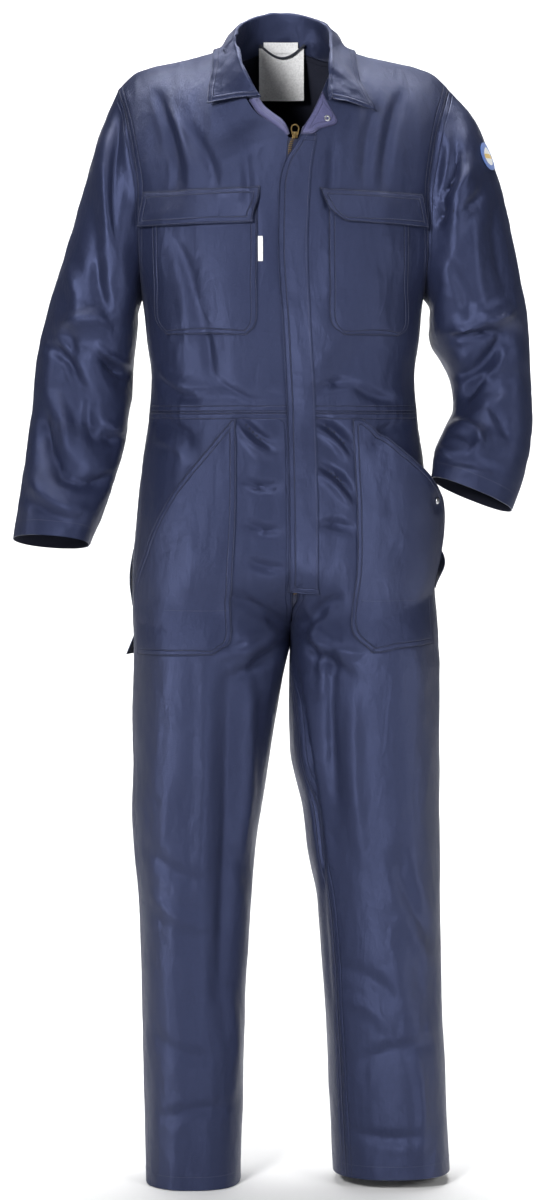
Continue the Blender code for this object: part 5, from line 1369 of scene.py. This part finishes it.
def cloth_material(name, colour, roughness, sheen, crumple=0.0012, seams=True, lines=900.0, gloss=0.3):
    """Satin twill: tone, weave, small creases and, on garment pieces, felled seams with a painted shade in
    their grooves and along their edges.
    """
    made, tree, shader = material(name, roughness)
    place = tree.nodes.new("ShaderNodeTexCoord").outputs["Object"]
    flat = tree.nodes.new("ShaderNodeUVMap")
    flat.uv_map = "Weave"
    painted_shade, normal = 0.0, None
    if seams:
        read = {}
        for label in ("seam", "run"):
            node = tree.nodes.new("ShaderNodeAttribute")
            node.attribute_name = label
            read[label] = node.outputs["Fac"]
        # The seam's painted shade, passed on to darken the tone.
        seam = place_group(tree, "Felled seam", Distance=read["seam"], Run=read["run"])
        painted_shade = seam.outputs["Shade"]
        normal = bump(tree, seam.outputs["Height"], 0.0006)
    tone = place_group(tree, "Cloth tone", Place=place, Colour=(*colour, 1.0), Shade=painted_shade)
    tree.links.new(tone.outputs["Colour"], shader.inputs["Base Color"])
    tree.links.new(plus(tree, tone.outputs["Shine"], roughness - 0.14), shader.inputs["Roughness"])
    creases = place_group(tree, "Small creases", Place=place)
    normal = bump(tree, creases.outputs["Height"], crumple, normal)
    twill = place_group(tree, "Satin twill", Cloth=flat.outputs["UV"], Lines=lines)
    normal = bump(tree, twill.outputs["Height"], 0.00010, normal)
    tree.links.new(normal, shader.inputs["Normal"])
    shader.inputs["Sheen Weight"].default_value = sheen
    shader.inputs["Sheen Roughness"].default_value = 0.35
    shader.inputs["Sheen Tint"].default_value = (0.55, 0.62, 0.95, 1.0)
    shader.inputs["Specular IOR Level"].default_value = gloss
    shader.inputs["Specular Tint"].default_value = (0.42, 0.50, 0.95, 1.0)
    return made


def metal_material(name, colour, roughness):
    """Handled metal: an uneven tone, with fine scratches."""
    made, tree, shader = material(name, roughness, 1.0)
    place = tree.nodes.new("ShaderNodeTexCoord").outputs["Object"]
    tone = place_group(tree, "Cloth tone", Place=place, Colour=(*colour, 1.0))
    tree.links.new(tone.outputs["Colour"], shader.inputs["Base Color"])
    scratches = noise_node(tree, place, 900.0, 3.0, (1.0, 1.0, 0.12))
    tree.links.new(plus(tree, times(tree, scratches, 0.3), roughness - 0.1),
                   shader.inputs["Roughness"])
    tree.links.new(bump(tree, scratches, 0.00004), shader.inputs["Normal"])
    return made


def thread_material(name, colour):
    made, tree, shader = material(name, 0.45)
    place = tree.nodes.new("ShaderNodeTexCoord").outputs["Object"]
    tone = place_group(tree, "Cloth tone", Place=place, Colour=(*colour, 1.0))
    tree.links.new(tone.outputs["Colour"], shader.inputs["Base Color"])
    tree.links.new(bump(tree, noise_node(tree, place, 2600.0, 1.0), 0.0001), shader.inputs["Normal"])
    shader.inputs["Sheen Weight"].default_value = 0.2
    return made


def badge_material():
    """Embroidered disc: a blue ring round a pale middle with a plain yellow bar."""
    made, tree, shader = material("badge_embroidery", 0.7)
    flat = tree.nodes.new("ShaderNodeUVMap")
    flat.uv_map = "Weave"
    centre = tree.nodes.new("ShaderNodeMapping")
    centre.inputs["Location"].default_value = (0.0, -BADGE_RADIUS, 0.0)
    tree.links.new(flat.outputs["UV"], centre.inputs["Vector"])
    length = tree.nodes.new("ShaderNodeVectorMath")
    length.operation = "LENGTH"
    tree.links.new(centre.outputs["Vector"], length.inputs[0])
    ring = calculate(tree, "GREATER_THAN", length.outputs["Value"], BADGE_RING)
    separate = tree.nodes.new("ShaderNodeSeparateXYZ")
    tree.links.new(centre.outputs["Vector"], separate.inputs["Vector"])
    bar = calculate(tree, "LESS_THAN", calculate(tree, "ABSOLUTE", separate.outputs["Y"]), BADGE_BAR)
    colour = mix_colour(tree, bar, (0.72, 0.73, 0.72, 1.0), (0.62, 0.42, 0.08, 1.0))
    colour = mix_colour(tree, ring, colour, (0.05, 0.13, 0.42, 1.0))
    place = tree.nodes.new("ShaderNodeTexCoord").outputs["Object"]
    tone = place_group(tree, "Cloth tone", Place=place, Colour=colour)
    tree.links.new(tone.outputs["Colour"], shader.inputs["Base Color"])
    threads = noise_node(tree, flat.outputs["UV"], 1.0, 1.0, (2400.0, 300.0, 1.0))
    tree.links.new(bump(tree, threads, 0.0003), shader.inputs["Normal"])
    shader.inputs["Sheen Weight"].default_value = 0.3
    return made


# ---------------------------------------------------------------- settings
class ClothSettings(bpy.types.PropertyGroup):
    colour: FloatVectorProperty(name="Colour", description="Outside of the main cloth", subtype="COLOR",
                                size=3, min=0, max=1, default=(0.015, 0.019, 0.044))
    inside_colour: FloatVectorProperty(name="Inside", description="Wrong side of the cloth", subtype="COLOR",
                                       size=3, min=0, max=1, default=(0.020, 0.021, 0.030))
    facing_colour: FloatVectorProperty(name="Facing", description="Turned-out facings", subtype="COLOR",
                                       size=3, min=0, max=1, default=(0.085, 0.085, 0.175))
    wall: FloatProperty(name="Thickness", description="Thickness of one piece of cloth", subtype="DISTANCE",
                        unit="LENGTH", min=0.0005, max=0.002, default=0.0012)
    crease: FloatProperty(name="Creases", description="Strength of the small creases", subtype="FACTOR",
                          min=0, max=2, default=1.8)


class StitchSettings(bpy.types.PropertyGroup):
    colour: FloatVectorProperty(name="Colour", description="Sewing thread", subtype="COLOR",
                                size=3, min=0, max=1, default=(0.030, 0.036, 0.080))
    pitch: FloatProperty(name="Pitch", description="From one stitch to the next", subtype="DISTANCE",
                         unit="LENGTH", min=0.002, max=0.006, default=0.0036)
    length: FloatProperty(name="Length", description="Length of one stitch", subtype="DISTANCE",
                          unit="LENGTH", min=0.001, max=0.006, default=0.0030)
    thickness: FloatProperty(name="Thickness", description="Thickness of the thread", subtype="DISTANCE",
                             unit="LENGTH", min=0.0003, max=0.0012, default=0.0007)


class ZipSettings(bpy.types.PropertyGroup):
    # Kept far darker than bright brass: a painted shade for the teeth, slider and pull, which sit in the
    # shade of the neck opening.
    colour: FloatVectorProperty(name="Teeth", description="Brass of the teeth, slider and pull",
                                subtype="COLOR", size=3, min=0, max=1, default=(0.20, 0.14, 0.06))
    tape_colour: FloatVectorProperty(name="Tape", description="Woven zip tape", subtype="COLOR",
                                     size=3, min=0, max=1, default=(0.035, 0.038, 0.060))
    pitch: FloatProperty(name="Pitch", description="From one tooth to the next on the same side",
                         subtype="DISTANCE", unit="LENGTH", min=0.0015, max=0.005, default=0.0026)


class StageSettings(bpy.types.PropertyGroup):
    floor_colour: FloatVectorProperty(name="Floor", description="Floor and backdrop", subtype="COLOR",
                                      size=3, min=0, max=1, default=(0.90, 0.90, 0.90))
    key: FloatProperty(name="Key", description="Power of the key light", unit="POWER", min=0, default=70.0)
    fill: FloatProperty(name="Fill", description="Power of the fill light", unit="POWER", min=0, default=30.0)
    surround: FloatProperty(name="Surround", description="Strength of the light from all round", min=0, max=3,
                            default=0.05)
    lens: FloatProperty(name="Lens", description="Focal length on a 36 mm high sensor", unit="CAMERA",
                        min=20, max=300, default=94.235)


# ---------------------------------------------------------------- building
SUIT = {}                    # what one step makes and the next ones need


def turned(place, aim):
    """How a light or the camera turns to look from a place at an aim."""
    return (Vector(aim) - Vector(place)).to_track_quat("-Z", "Y").to_euler()


def need(key):
    """What an earlier step made."""
    if key not in SUIT:
        raise RuntimeError(f"Run the steps in order: {key} isn't built yet")
    return SUIT[key]


def finish_cloth(cloth, node, wall, outside="navy", inside="inside"):
    """Make a cloth's object, hide the part's node that it replaces, and keep the cloth under that node's
    name.
    """
    finishes = need("materials")
    made = cloth_object(cloth, wall, finishes[outside], finishes[inside])
    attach(made, "suit")
    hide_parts(node)
    flat, area = cloth.cut()
    need("cloths")[node] = cloth
    return made


class SUIT_OT_finishes(bpy.types.Operator):
    """Make the finishes of cloth, thread, tape, labels and metal"""
    bl_idname = "boiler_suit.finishes"
    bl_label = "Finishes"

    def execute(self, context):
        scene = context.scene
        for build in (twill_group, crumple_group, seam_group, tone_group):
            build()
        cloth, stitch, zips = scene.suit_cloth, scene.suit_stitch, scene.suit_zip
        SUIT["cloths"] = {}
        SUIT["materials"] = {
            "navy": cloth_material("navy_satin_twill", cloth.colour, 0.40, 0.05, gloss=0.7),
            "inside": cloth_material("navy_twill_wrong_side", cloth.inside_colour, 0.8, 0.1),
            "facing": cloth_material("facing_twill", cloth.facing_colour, 0.55, 0.1, 0.0008),
            "label": cloth_material("woven_label", (0.93, 0.93, 0.93), 0.6, 0.2, 0.0003, False, 1500.0),
            "tape": cloth_material("zip_tape", zips.tape_colour, 0.8, 0.1, 0.0002, False, 1200.0),
            "loop": cloth_material("hanger_tape", (0.030, 0.032, 0.036), 0.75, 0.2, 0.0003, False, 1200.0),
            "thread": thread_material("sewing_thread", stitch.colour),
            # The brass colour is darkened as painted shade.
            "brass": metal_material("aged_brass", zips.colour, 0.42),
            "nickel": metal_material("nickel_plate", (0.76, 0.77, 0.79), 0.3),
            "badge": badge_material(),
        }
        return {"FINISHED"}


class SUIT_OT_body(bpy.types.Operator):
    """Build the bodice, trousers and sleeves"""
    bl_idname = "boiler_suit.body"
    bl_label = "Body cloth"

    def execute(self, context):
        settings = context.scene.suit_cloth
        panels = body_cloths(settings.crease)
        for name, cloth in panels.items():
            node = name.removesuffix("_cloth")
            finish_cloth(cloth, node, settings.wall)
        trunk = [cloth for name, cloth in panels.items() if "sleeve" not in name]
        SUIT["trunk"] = trunk
        SUIT["skin"] = outer_skin(trunk)
        SUIT["sleeve_skin"] = outer_skin([cloth for name, cloth in panels.items() if "sleeve" in name])
        return {"FINISHED"}


class SUIT_OT_collar(bpy.types.Operator):
    """Build the collar"""
    bl_idname = "boiler_suit.collar"
    bl_label = "Collar"

    def execute(self, context):
        settings = context.scene.suit_cloth
        points = collar_points(need("skin"))
        leaf = Cloth("collar_cloth", points, below_shoulder, sewn=("bottom", "first", "last"))
        leaf.points = leaf.points + leaf.normals * settings.wall / 2
        SUIT["stand"] = outer_skin([Cloth("stand", points, below_shoulder)])
        finish_cloth(leaf, "collar", settings.wall, inside="navy")
        return {"FINISHED"}


class SUIT_OT_pockets(bpy.types.Operator):
    """Build the pockets, their flaps and the guards of the side openings"""
    bl_idname = "boiler_suit.pockets"
    bl_label = "Pockets"

    def execute(self, context):
        settings, skin = context.scene.suit_cloth, need("skin")
        wall = settings.wall

        def patch(node, spots, lift, inside="inside"):
            cloth = laid_cloth(node + "_cloth", skin, spots, lift, wall)
            press_under(cloth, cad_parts["hip_stud_left"])
            finish_cloth(cloth, node, wall, inside=inside)

        for word, edges in CHEST_POCKETS.items():
            spots = patch_spots(edges)
            slack = POCKET_CROWN + 0.0015 * undulation(spots, 24)
            patch(f"chest_pocket_{word}", spots, LAY_GAP + crown(spots, 1.0) * slack)
        for word, edges in FLAPS.items():
            spots = patch_spots(edges)
            down, _ = borders(spots)
            wave = 1 + 0.35 * undulation(spots, 30)
            patch(f"flap_{word}", spots, LAY_GAP + down ** 0.6 * (FLAP_STAND + WALL) * wave)
        for word, edges in HIP_POCKETS.items():
            spots = patch_spots(edges)
            down, out = borders(spots)
            gape = HIP_POCKET_GAPE[word] * out ** 2 * np.sin(math.pi * np.clip(down * 1.25, 0, 1)) ** 0.8
            slack = POCKET_CROWN + 0.0014 * undulation(spots, 22)
            patch(f"hip_pocket_{word}", spots, LAY_GAP + crown(spots, 1.0) * slack + gape)
        for word, (top_z, bottom_z, bow) in SLIT_GUARDS.items():
            side = 1 if word == "left" else -1
            z = np.linspace(top_z, bottom_z, 20)[:, None]
            y = np.linspace(SLIT_GUARD_Y, SLIT_GUARD_Y + SLIT_GUARD_WIDTH, 5)[None]
            z, y = np.broadcast_arrays(z, y)
            spots = np.stack([side * track(TRUNK, "z", "half_width", z), y, z], axis=-1)
            down, across = borders(spots)
            lift = LAY_GAP + bow * np.sin(math.pi * down) ** 1.5 * (1 - 0.6 * across)
            patch(f"slit_guard_{word}", spots, lift, "navy")
        for node, edges, stand in (("rule_pocket", RULE_POCKET, 0.0),
                                   ("rule_flap", RULE_FLAP, RULE_FLAP_STAND)):
            spots = patch_spots(edges, behind=True)
            down, across = borders(spots)
            patch(node, spots, LAY_GAP + stand * down * (0.3 + 0.7 * across) + crown(spots, 0.001))
        return {"FINISHED"}


class SUIT_OT_fastening(bpy.types.Operator):
    """Build the placket, the facings turned out beside the neck, and the zip"""
    bl_idname = "boiler_suit.fastening"
    bl_label = "Placket, facings and zip"

    def execute(self, context):
        settings, zips = context.scene.suit_cloth, context.scene.suit_zip
        finishes, cloths = need("materials"), need("cloths")
        edges = []
        for word in ("right", "left"):
            bodice, trousers = cloths[f"bodice_front_{word}"], cloths[f"leg_front_{word}"]
            edge = np.concatenate([bodice.points[:, 0], trousers.points[1:, 0]])
            edge = edge[(edge[:, 2] < ZIP_TOP_Z) & (edge[:, 2] > FLY_END_Z - ZIP_TAPE_END)]
            edges.append(along_path(edge, np.linspace(0, 1, 120)))
        share = np.linspace(0.04, 0.96, 5)[None, :, None]
        across = edges[0][:, None] * (1 - share) + edges[1][:, None] * share
        tape = Cloth("zip_tape_cloth", across, below_shoulder)
        tape.points = tape.points - tape.normals * ZIP_RECESS
        ribbon = cloth_object(tape, ZIP_TAPE_WALL, finishes["tape"], finishes["tape"])
        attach(ribbon, "suit")
        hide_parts("zip_chain")
        middle = tape.points[::-1, 2] + tape.normals[::-1, 2] * 0.0004
        middle = middle[tape.points[::-1, 2, 2] > FLY_END_Z]
        sides = [middle - (TOOTH_OFFSET, 0, 0), trimmed(middle, zips.pitch / 2, 0.0) + (TOOTH_OFFSET, 0, 0)]
        teeth = repeated("zip_teeth", sides, row_tree("Zip tooth row", "tooth"), Pitch=zips.pitch,
                         Size=ZIP_TOOTH, Finish=finishes["brass"])
        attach(teeth, "suit")
        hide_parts("zip_chain")

        rows = np.linspace(PLACKET[0].z, PLACKET[-1].z, 121)
        free, sewn = (track(PLACKET, "z", name, rows) for name in ("free_x", "sewn_x"))
        x = free[:, None] + (sewn - free)[:, None] * np.linspace(0, 1, 9)[None, :]
        spots = trunk_spot(x, np.broadcast_to(rows[:, None], x.shape))
        _, across = borders(spots)
        waves = (0.0009 * undulation(spots, 60, (0.3, 0.3, 1.2)) + 0.0006) * (1.15 - across)
        over = outer_skin(need("trunk") + [tape])
        placket = laid_cloth("placket_cloth", over, spots, LAY_GAP + np.maximum(waves, 0), PLACKET_WALL,
                             sewn=("top", "bottom", "first"))
        finish_cloth(placket, "placket", PLACKET_WALL)

        under = outer_skin(need("trunk") + [placket])
        lapel = laid_cloth("facing_left_cloth", under, patch_spots(LEFT_LAPEL), LAY_GAP, settings.wall)
        finish_cloth(lapel, "facing_left", settings.wall, "facing", "facing")
        levels = np.array([level for level in BODICE_LEVELS if V_LEVEL <= level < 0.8])
        path = along_path(bodice_surface(0, levels, -1, -1), np.linspace(0.03, 0.85, 8))
        rolled = []
        for t, outer in zip(np.linspace(0, 1, 8), path):
            width = RIGHT_LAPEL_WIDTH * min(1.0, 0.35 + 3 * t) * 0.7
            outer = outer + (0.0005, 0.0001, 0.0005)
            rolled.append([outer, outer + (width * 0.5, RIGHT_LAPEL_TURN * 0.15, width * 0.5),
                           outer + (width, RIGHT_LAPEL_TURN, width)])
        strip = Cloth("facing_right_cloth", refined(np.array(rolled), 4, 5),
                      lambda points: points * (1, 0, 1) + (-0.05, 0.1, -0.05),
                      sewn=("top", "bottom", "first", "last"))
        finish_cloth(strip, "facing_right", settings.wall, "facing", "facing")
        return {"FINISHED"}


class SUIT_OT_labels(bpy.types.Operator):
    """Build the labels, the hanging loop and the sleeve badge"""
    bl_idname = "boiler_suit.labels"
    bl_label = "Labels, loop and badge"

    def execute(self, context):
        stand, finishes = need("stand"), need("materials")

        def stand_y(x):
            hit, _, _, _ = stand.ray_cast(Vector((x, -0.03, LABEL_SEAM_Z)), Vector((0, 1, 0)))
            if hit is None:
                raise RuntimeError("The collar's stand isn't behind the labels")
            return hit.y - WALL / 2

        behind = LABEL_STAND_OFF
        for node, ((x0, z0), (x1, z1)) in (("neck_label", NECK_LABEL), ("size_label", SIZE_LABEL)):
            x = np.linspace(x0, x1, 25)
            y = np.array([stand_y(place) for place in x]) - behind - LABEL_WALL
            z = np.linspace(z0, z1, 25)
            grid = np.stack(np.broadcast_arrays(x[None, :], y[None, :], z[:, None]), axis=-1)
            curl = np.linspace(0, 1, 25)[:, None] ** 2 * 0.0012 * undulation(grid, 50)
            grid = grid - np.stack([0 * curl, np.abs(curl), 0 * curl], axis=-1)
            label = Cloth(node + "_cloth", grid, lambda points: points + (0, 1, 0),
                          sewn=("top", "bottom", "first", "last"))
            finish_cloth(label, node, LABEL_WALL * 0.6, "label", "label")
            behind += LABEL_WALL + 2 * SEAM_GAP
        behind += LOOP_RADIUS
        share = np.linspace(0, 1, 41)
        x = LOOP_ENDS[0] + (LOOP_ENDS[1] - LOOP_ENDS[0]) * share
        drop = LOOP_SAG * np.sin(math.pi * share)
        back = behind - (LABEL_WALL + 2 * SEAM_GAP) * (np.abs(share - 0.5) > 0.49)
        path = np.stack([x, [stand_y(place) for place in x] - back, LOOP_TOP_Z - drop], axis=-1)
        loop = tape_mesh("hanging_loop_tape", path, LOOP_RADIUS * 0.95, 0.0009, np.array((0.0, 0.35, 1.0)),
                         finishes["loop"])
        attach(loop, "suit")
        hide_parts("hanging_loop")

        (x0, z0), (x1, z1) = SIDE_LABEL
        spots = trunk_spot(np.linspace(x0, x1, 5)[None, :], np.linspace(z0, z1, 17)[:, None])
        flag = Cloth("side_label_cloth", lay(need("skin"), spots, LAY_GAP + LABEL_WALL), below_shoulder)
        made = cloth_object(flag, LABEL_WALL * 0.7, finishes["label"], finishes["label"])
        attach(made, "suit")
        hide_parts("side_label")

        skin = need("sleeve_skin")
        place, normal, _, _ = skin.find_nearest(Vector(BADGE_PLACE))
        right = normal.cross(Vector((0, 0, 1))).normalized()
        up = right.cross(normal)
        u, v = np.meshgrid(np.linspace(-1, 1, 25), np.linspace(-1, 1, 25))
        across, high = u * np.sqrt(1 - v * v / 2), v * np.sqrt(1 - u * u / 2)
        spots = (np.array(place) + across[..., None] * np.array(right) * BADGE_RADIUS
                 + high[..., None] * np.array(up) * BADGE_RADIUS)
        badge = Cloth("sleeve_badge_cloth", lay(skin, spots, LAY_GAP + 0.0004 + LABEL_WALL), sleeve_axis(1))
        finish_cloth(badge, "sleeve_badge", LABEL_WALL, "badge", "badge")
        return {"FINISHED"}


class SUIT_OT_stitching(bpy.types.Operator):
    """Sew the seams, hems and edges"""
    bl_idname = "boiler_suit.stitching"
    bl_label = "Stitching"

    def execute(self, context):
        settings, cloths = context.scene.suit_stitch, need("cloths")
        tree = row_tree("Stitch row", "stitch")

        def armhole(path):
            return path[:, 2] > UNDERARM_Z - 0.002

        bodice, sleeves, trousers = [], [], []
        for distance in SEAM_ROWS:
            for word in ("right", "left"):
                front = cloths[f"bodice_front_{word}"]
                bodice.append(inset_path(front, "last", distance, armhole))
                bodice.append(inset_path(front, "bottom", distance))
                leg, back_leg = cloths[f"leg_front_{word}"], cloths[f"leg_back_{word}"]
                trousers.append(inset_path(leg, "top", distance))
                trousers.append(inset_path(back_leg, "top", distance))
                trousers.append(inset_path(back_leg, "last", distance))
                trousers.append(inset_path(back_leg, "first", distance))
                sleeve = cloths[f"sleeve_{word}"]
                column = sleeve.points[:, sleeve.seam_column]
                step = unit(sleeve.points[:, sleeve.seam_column + 1] - column)
                out = sleeve.normals[:, sleeve.seam_column] * 0.0002
                sleeves.append(trimmed(column + step * (distance - 0.005) + out, 0.002, 0.002))
            back = cloths["bodice_back"]
            for side in ("first", "last", "bottom", "top"):
                bodice.append(inset_path(back, side, distance))
        for word in ("right", "left"):
            sleeve = cloths[f"sleeve_{word}"]
            cuff = inset_path(sleeve, "bottom", CUFF_HEM)
            sleeves.append(np.append(cuff, cuff[:1], axis=0))
            for place in ("front", "back"):
                trousers.append(inset_path(cloths[f"leg_{place}_{word}"], "bottom", TROUSER_HEM))
            bodice += outline_paths(cloths[f"chest_pocket_{word}"], SEAM_ROWS)
            bodice += outline_paths(cloths[f"flap_{word}"], SEAM_ROWS, ("top", "first", "bottom", "last"))
            trousers += outline_paths(cloths[f"hip_pocket_{word}"], SEAM_ROWS)
        trousers += outline_paths(cloths["rule_pocket"], SEAM_ROWS)
        trousers += outline_paths(cloths["rule_flap"], SEAM_ROWS[:1])
        placket = cloths["placket"]
        bodice += [inset_path(placket, "first", SEAM_ROWS[1]), inset_path(placket, "last", 0.002)]
        bodice += outline_paths(cloths["facing_left"], (0.0035,), ("last",))
        collar = cloths["collar"]
        bodice.append(inset_path(collar, "bottom", COLLAR_ROW))
        bodice += [trimmed(inset_path(collar, border, COLLAR_ROW), 2 * COLLAR_ROW, COLLAR_ROW)
                   for border in ("first", "last")]
        for word, (z, x0, x1) in POCKET_ROWS.items():
            over = outer_skin([cloths[f"hip_pocket_{word}"]])
            trousers.append(skin_path(over, [tuple(trunk_spot(x, z)) for x in np.linspace(x0, x1, 12)]))
        for name, paths in (("bodice_stitching", bodice), ("sleeve_stitching", sleeves),
                            ("trouser_stitching", trousers)):
            sewn = repeated(name, paths, tree, Pitch=settings.pitch,
                            Size=(settings.thickness, settings.thickness, settings.length),
                            Finish=need("materials")["thread"])
            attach(sewn, "suit")
        return {"FINISHED"}


class SUIT_OT_metal(bpy.types.Operator):
    """Finish the slider, its bridge, pull tab, snap and stud"""
    bl_idname = "boiler_suit.metal"
    bl_label = "Metal"

    def execute(self, context):
        finishes = need("materials")
        for node, finish in (("zip_slider", "brass"), ("zip_bridge", "brass"), ("pull_tab", "brass"),
                             ("neck_snap", "nickel"), ("hip_stud_left", "nickel")):
            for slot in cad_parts[node].material_slots:
                slot.material = finishes[finish]
        return {"FINISHED"}


class SUIT_OT_stage(bpy.types.Operator):
    """Build the floor, backdrop, lights and camera"""
    bl_idname = "boiler_suit.stage"
    bl_label = "Stage"

    def execute(self, context):
        scene, settings = context.scene, context.scene.suit_stage
        scene.view_settings.view_transform = "Standard"
        floor_z = CAD_BOUNDS[0][2] - 0.001
        profile = [(BACKDROP_Y + BACKDROP_CURVE * math.sin(a),
                    floor_z + 0.0005 + BACKDROP_CURVE * (1 - math.cos(a)))
                   for a in np.linspace(0, math.pi / 2, 16)]
        profile.append((BACKDROP_Y + BACKDROP_CURVE, floor_z + BACKDROP_HEIGHT))
        points = [(x, y, floor_z) for y in (-FLOOR_REACH, FLOOR_REACH) for x in (-FLOOR_REACH, FLOOR_REACH)]
        points += [(x, y, z) for y, z in profile for x in (-BACKDROP_REACH, BACKDROP_REACH)]
        starts = [0] + list(range(4, len(points) - 2, 2))      # the floor, then the backdrop's strips
        mesh = bpy.data.meshes.new("floor")
        mesh.from_pydata(points, [], [(i, i + 1, i + 3, i + 2) for i in starts])
        mesh.shade_smooth()
        pale, tree, shader = material("pale_floor", 0.9)
        place = tree.nodes.new("ShaderNodeTexCoord").outputs["Object"]
        tone = noise_node(tree, place, 1.5, 2.0)
        colour = mix_colour(tree, tone, tuple(c * 0.98 for c in settings.floor_colour) + (1.0,),
                            tuple(settings.floor_colour) + (1.0,))
        tree.links.new(colour, shader.inputs["Base Color"])
        add_object("floor", mesh, pale)

        world = bpy.data.worlds.new("surround")
        world.use_nodes = True
        world.node_tree.nodes["Background"].inputs["Color"].default_value = (0.93, 0.95, 1.0, 1.0)
        world.node_tree.nodes["Background"].inputs["Strength"].default_value = settings.surround
        scene.world = world
        for name, power, size, place, aim in (
                ("key", settings.key, 0.6, (-1.1, -2.4, 0.3), (0, 0, -0.60)),
                ("fill", settings.fill, 0.9, (1.8, -2.1, -0.2), (0.1, 0, -0.6)),
                ("top", settings.fill * 0.2, 1.0, (0.2, -0.6, 1.8), (0, 0, -0.4)),
                ("back", settings.fill * 7.5, 2.4, (0, 0.9, 2.2), (0, 3.2, -0.6))):
            data = bpy.data.lights.new(name, "AREA")
            data.energy, data.size = power, size
            light = bpy.data.objects.new(name, data)
            light.location = place
            light.rotation_euler = turned(place, aim)
            scene.collection.objects.link(light)
        data = bpy.data.cameras.new("camera")
        data.sensor_fit, data.sensor_height, data.sensor_width = "VERTICAL", 36.0, 36.0
        data.lens = settings.lens
        data.clip_start, data.clip_end = 0.1, 30
        camera = bpy.data.objects.new("camera", data)
        camera.location = CAMERA_PLACE
        camera.rotation_euler = turned(CAMERA_PLACE, CAMERA_AIM)
        scene.collection.objects.link(camera)
        scene.camera = camera
        return {"FINISHED"}


STEPS = (SUIT_OT_finishes, SUIT_OT_body, SUIT_OT_collar, SUIT_OT_pockets, SUIT_OT_fastening, SUIT_OT_labels,
         SUIT_OT_stitching, SUIT_OT_metal, SUIT_OT_stage)


class VIEW3D_PT_boiler_suit(bpy.types.Panel):
    bl_label = "Boiler suit"
    bl_space_type = "VIEW_3D"
    bl_region_type = "UI"
    bl_category = "Boiler suit"

    def draw(self, context):
        for settings in (context.scene.suit_cloth, context.scene.suit_stitch, context.scene.suit_zip,
                         context.scene.suit_stage):
            box = self.layout.box()
            for name in settings.__annotations__:
                box.prop(settings, name)
        for step in STEPS:
            self.layout.operator(step.bl_idname)


SETTINGS = {"suit_cloth": ClothSettings, "suit_stitch": StitchSettings, "suit_zip": ZipSettings,
            "suit_stage": StageSettings}


def register():
    for name, settings in SETTINGS.items():
        bpy.utils.register_class(settings)
        setattr(bpy.types.Scene, name, PointerProperty(type=settings))
    for step in STEPS + (VIEW3D_PT_boiler_suit,):
        bpy.utils.register_class(step)


def unregister():
    for step in (VIEW3D_PT_boiler_suit,) + STEPS[::-1]:
        bpy.utils.unregister_class(step)
    for name, settings in SETTINGS.items():
        delattr(bpy.types.Scene, name)
        bpy.utils.unregister_class(settings)


def main():
    register()
    for step in STEPS:
        group_name, step_name = step.bl_idname.split(".")
        getattr(getattr(bpy.ops, group_name), step_name)()


if __name__ == "__main__":
    main()
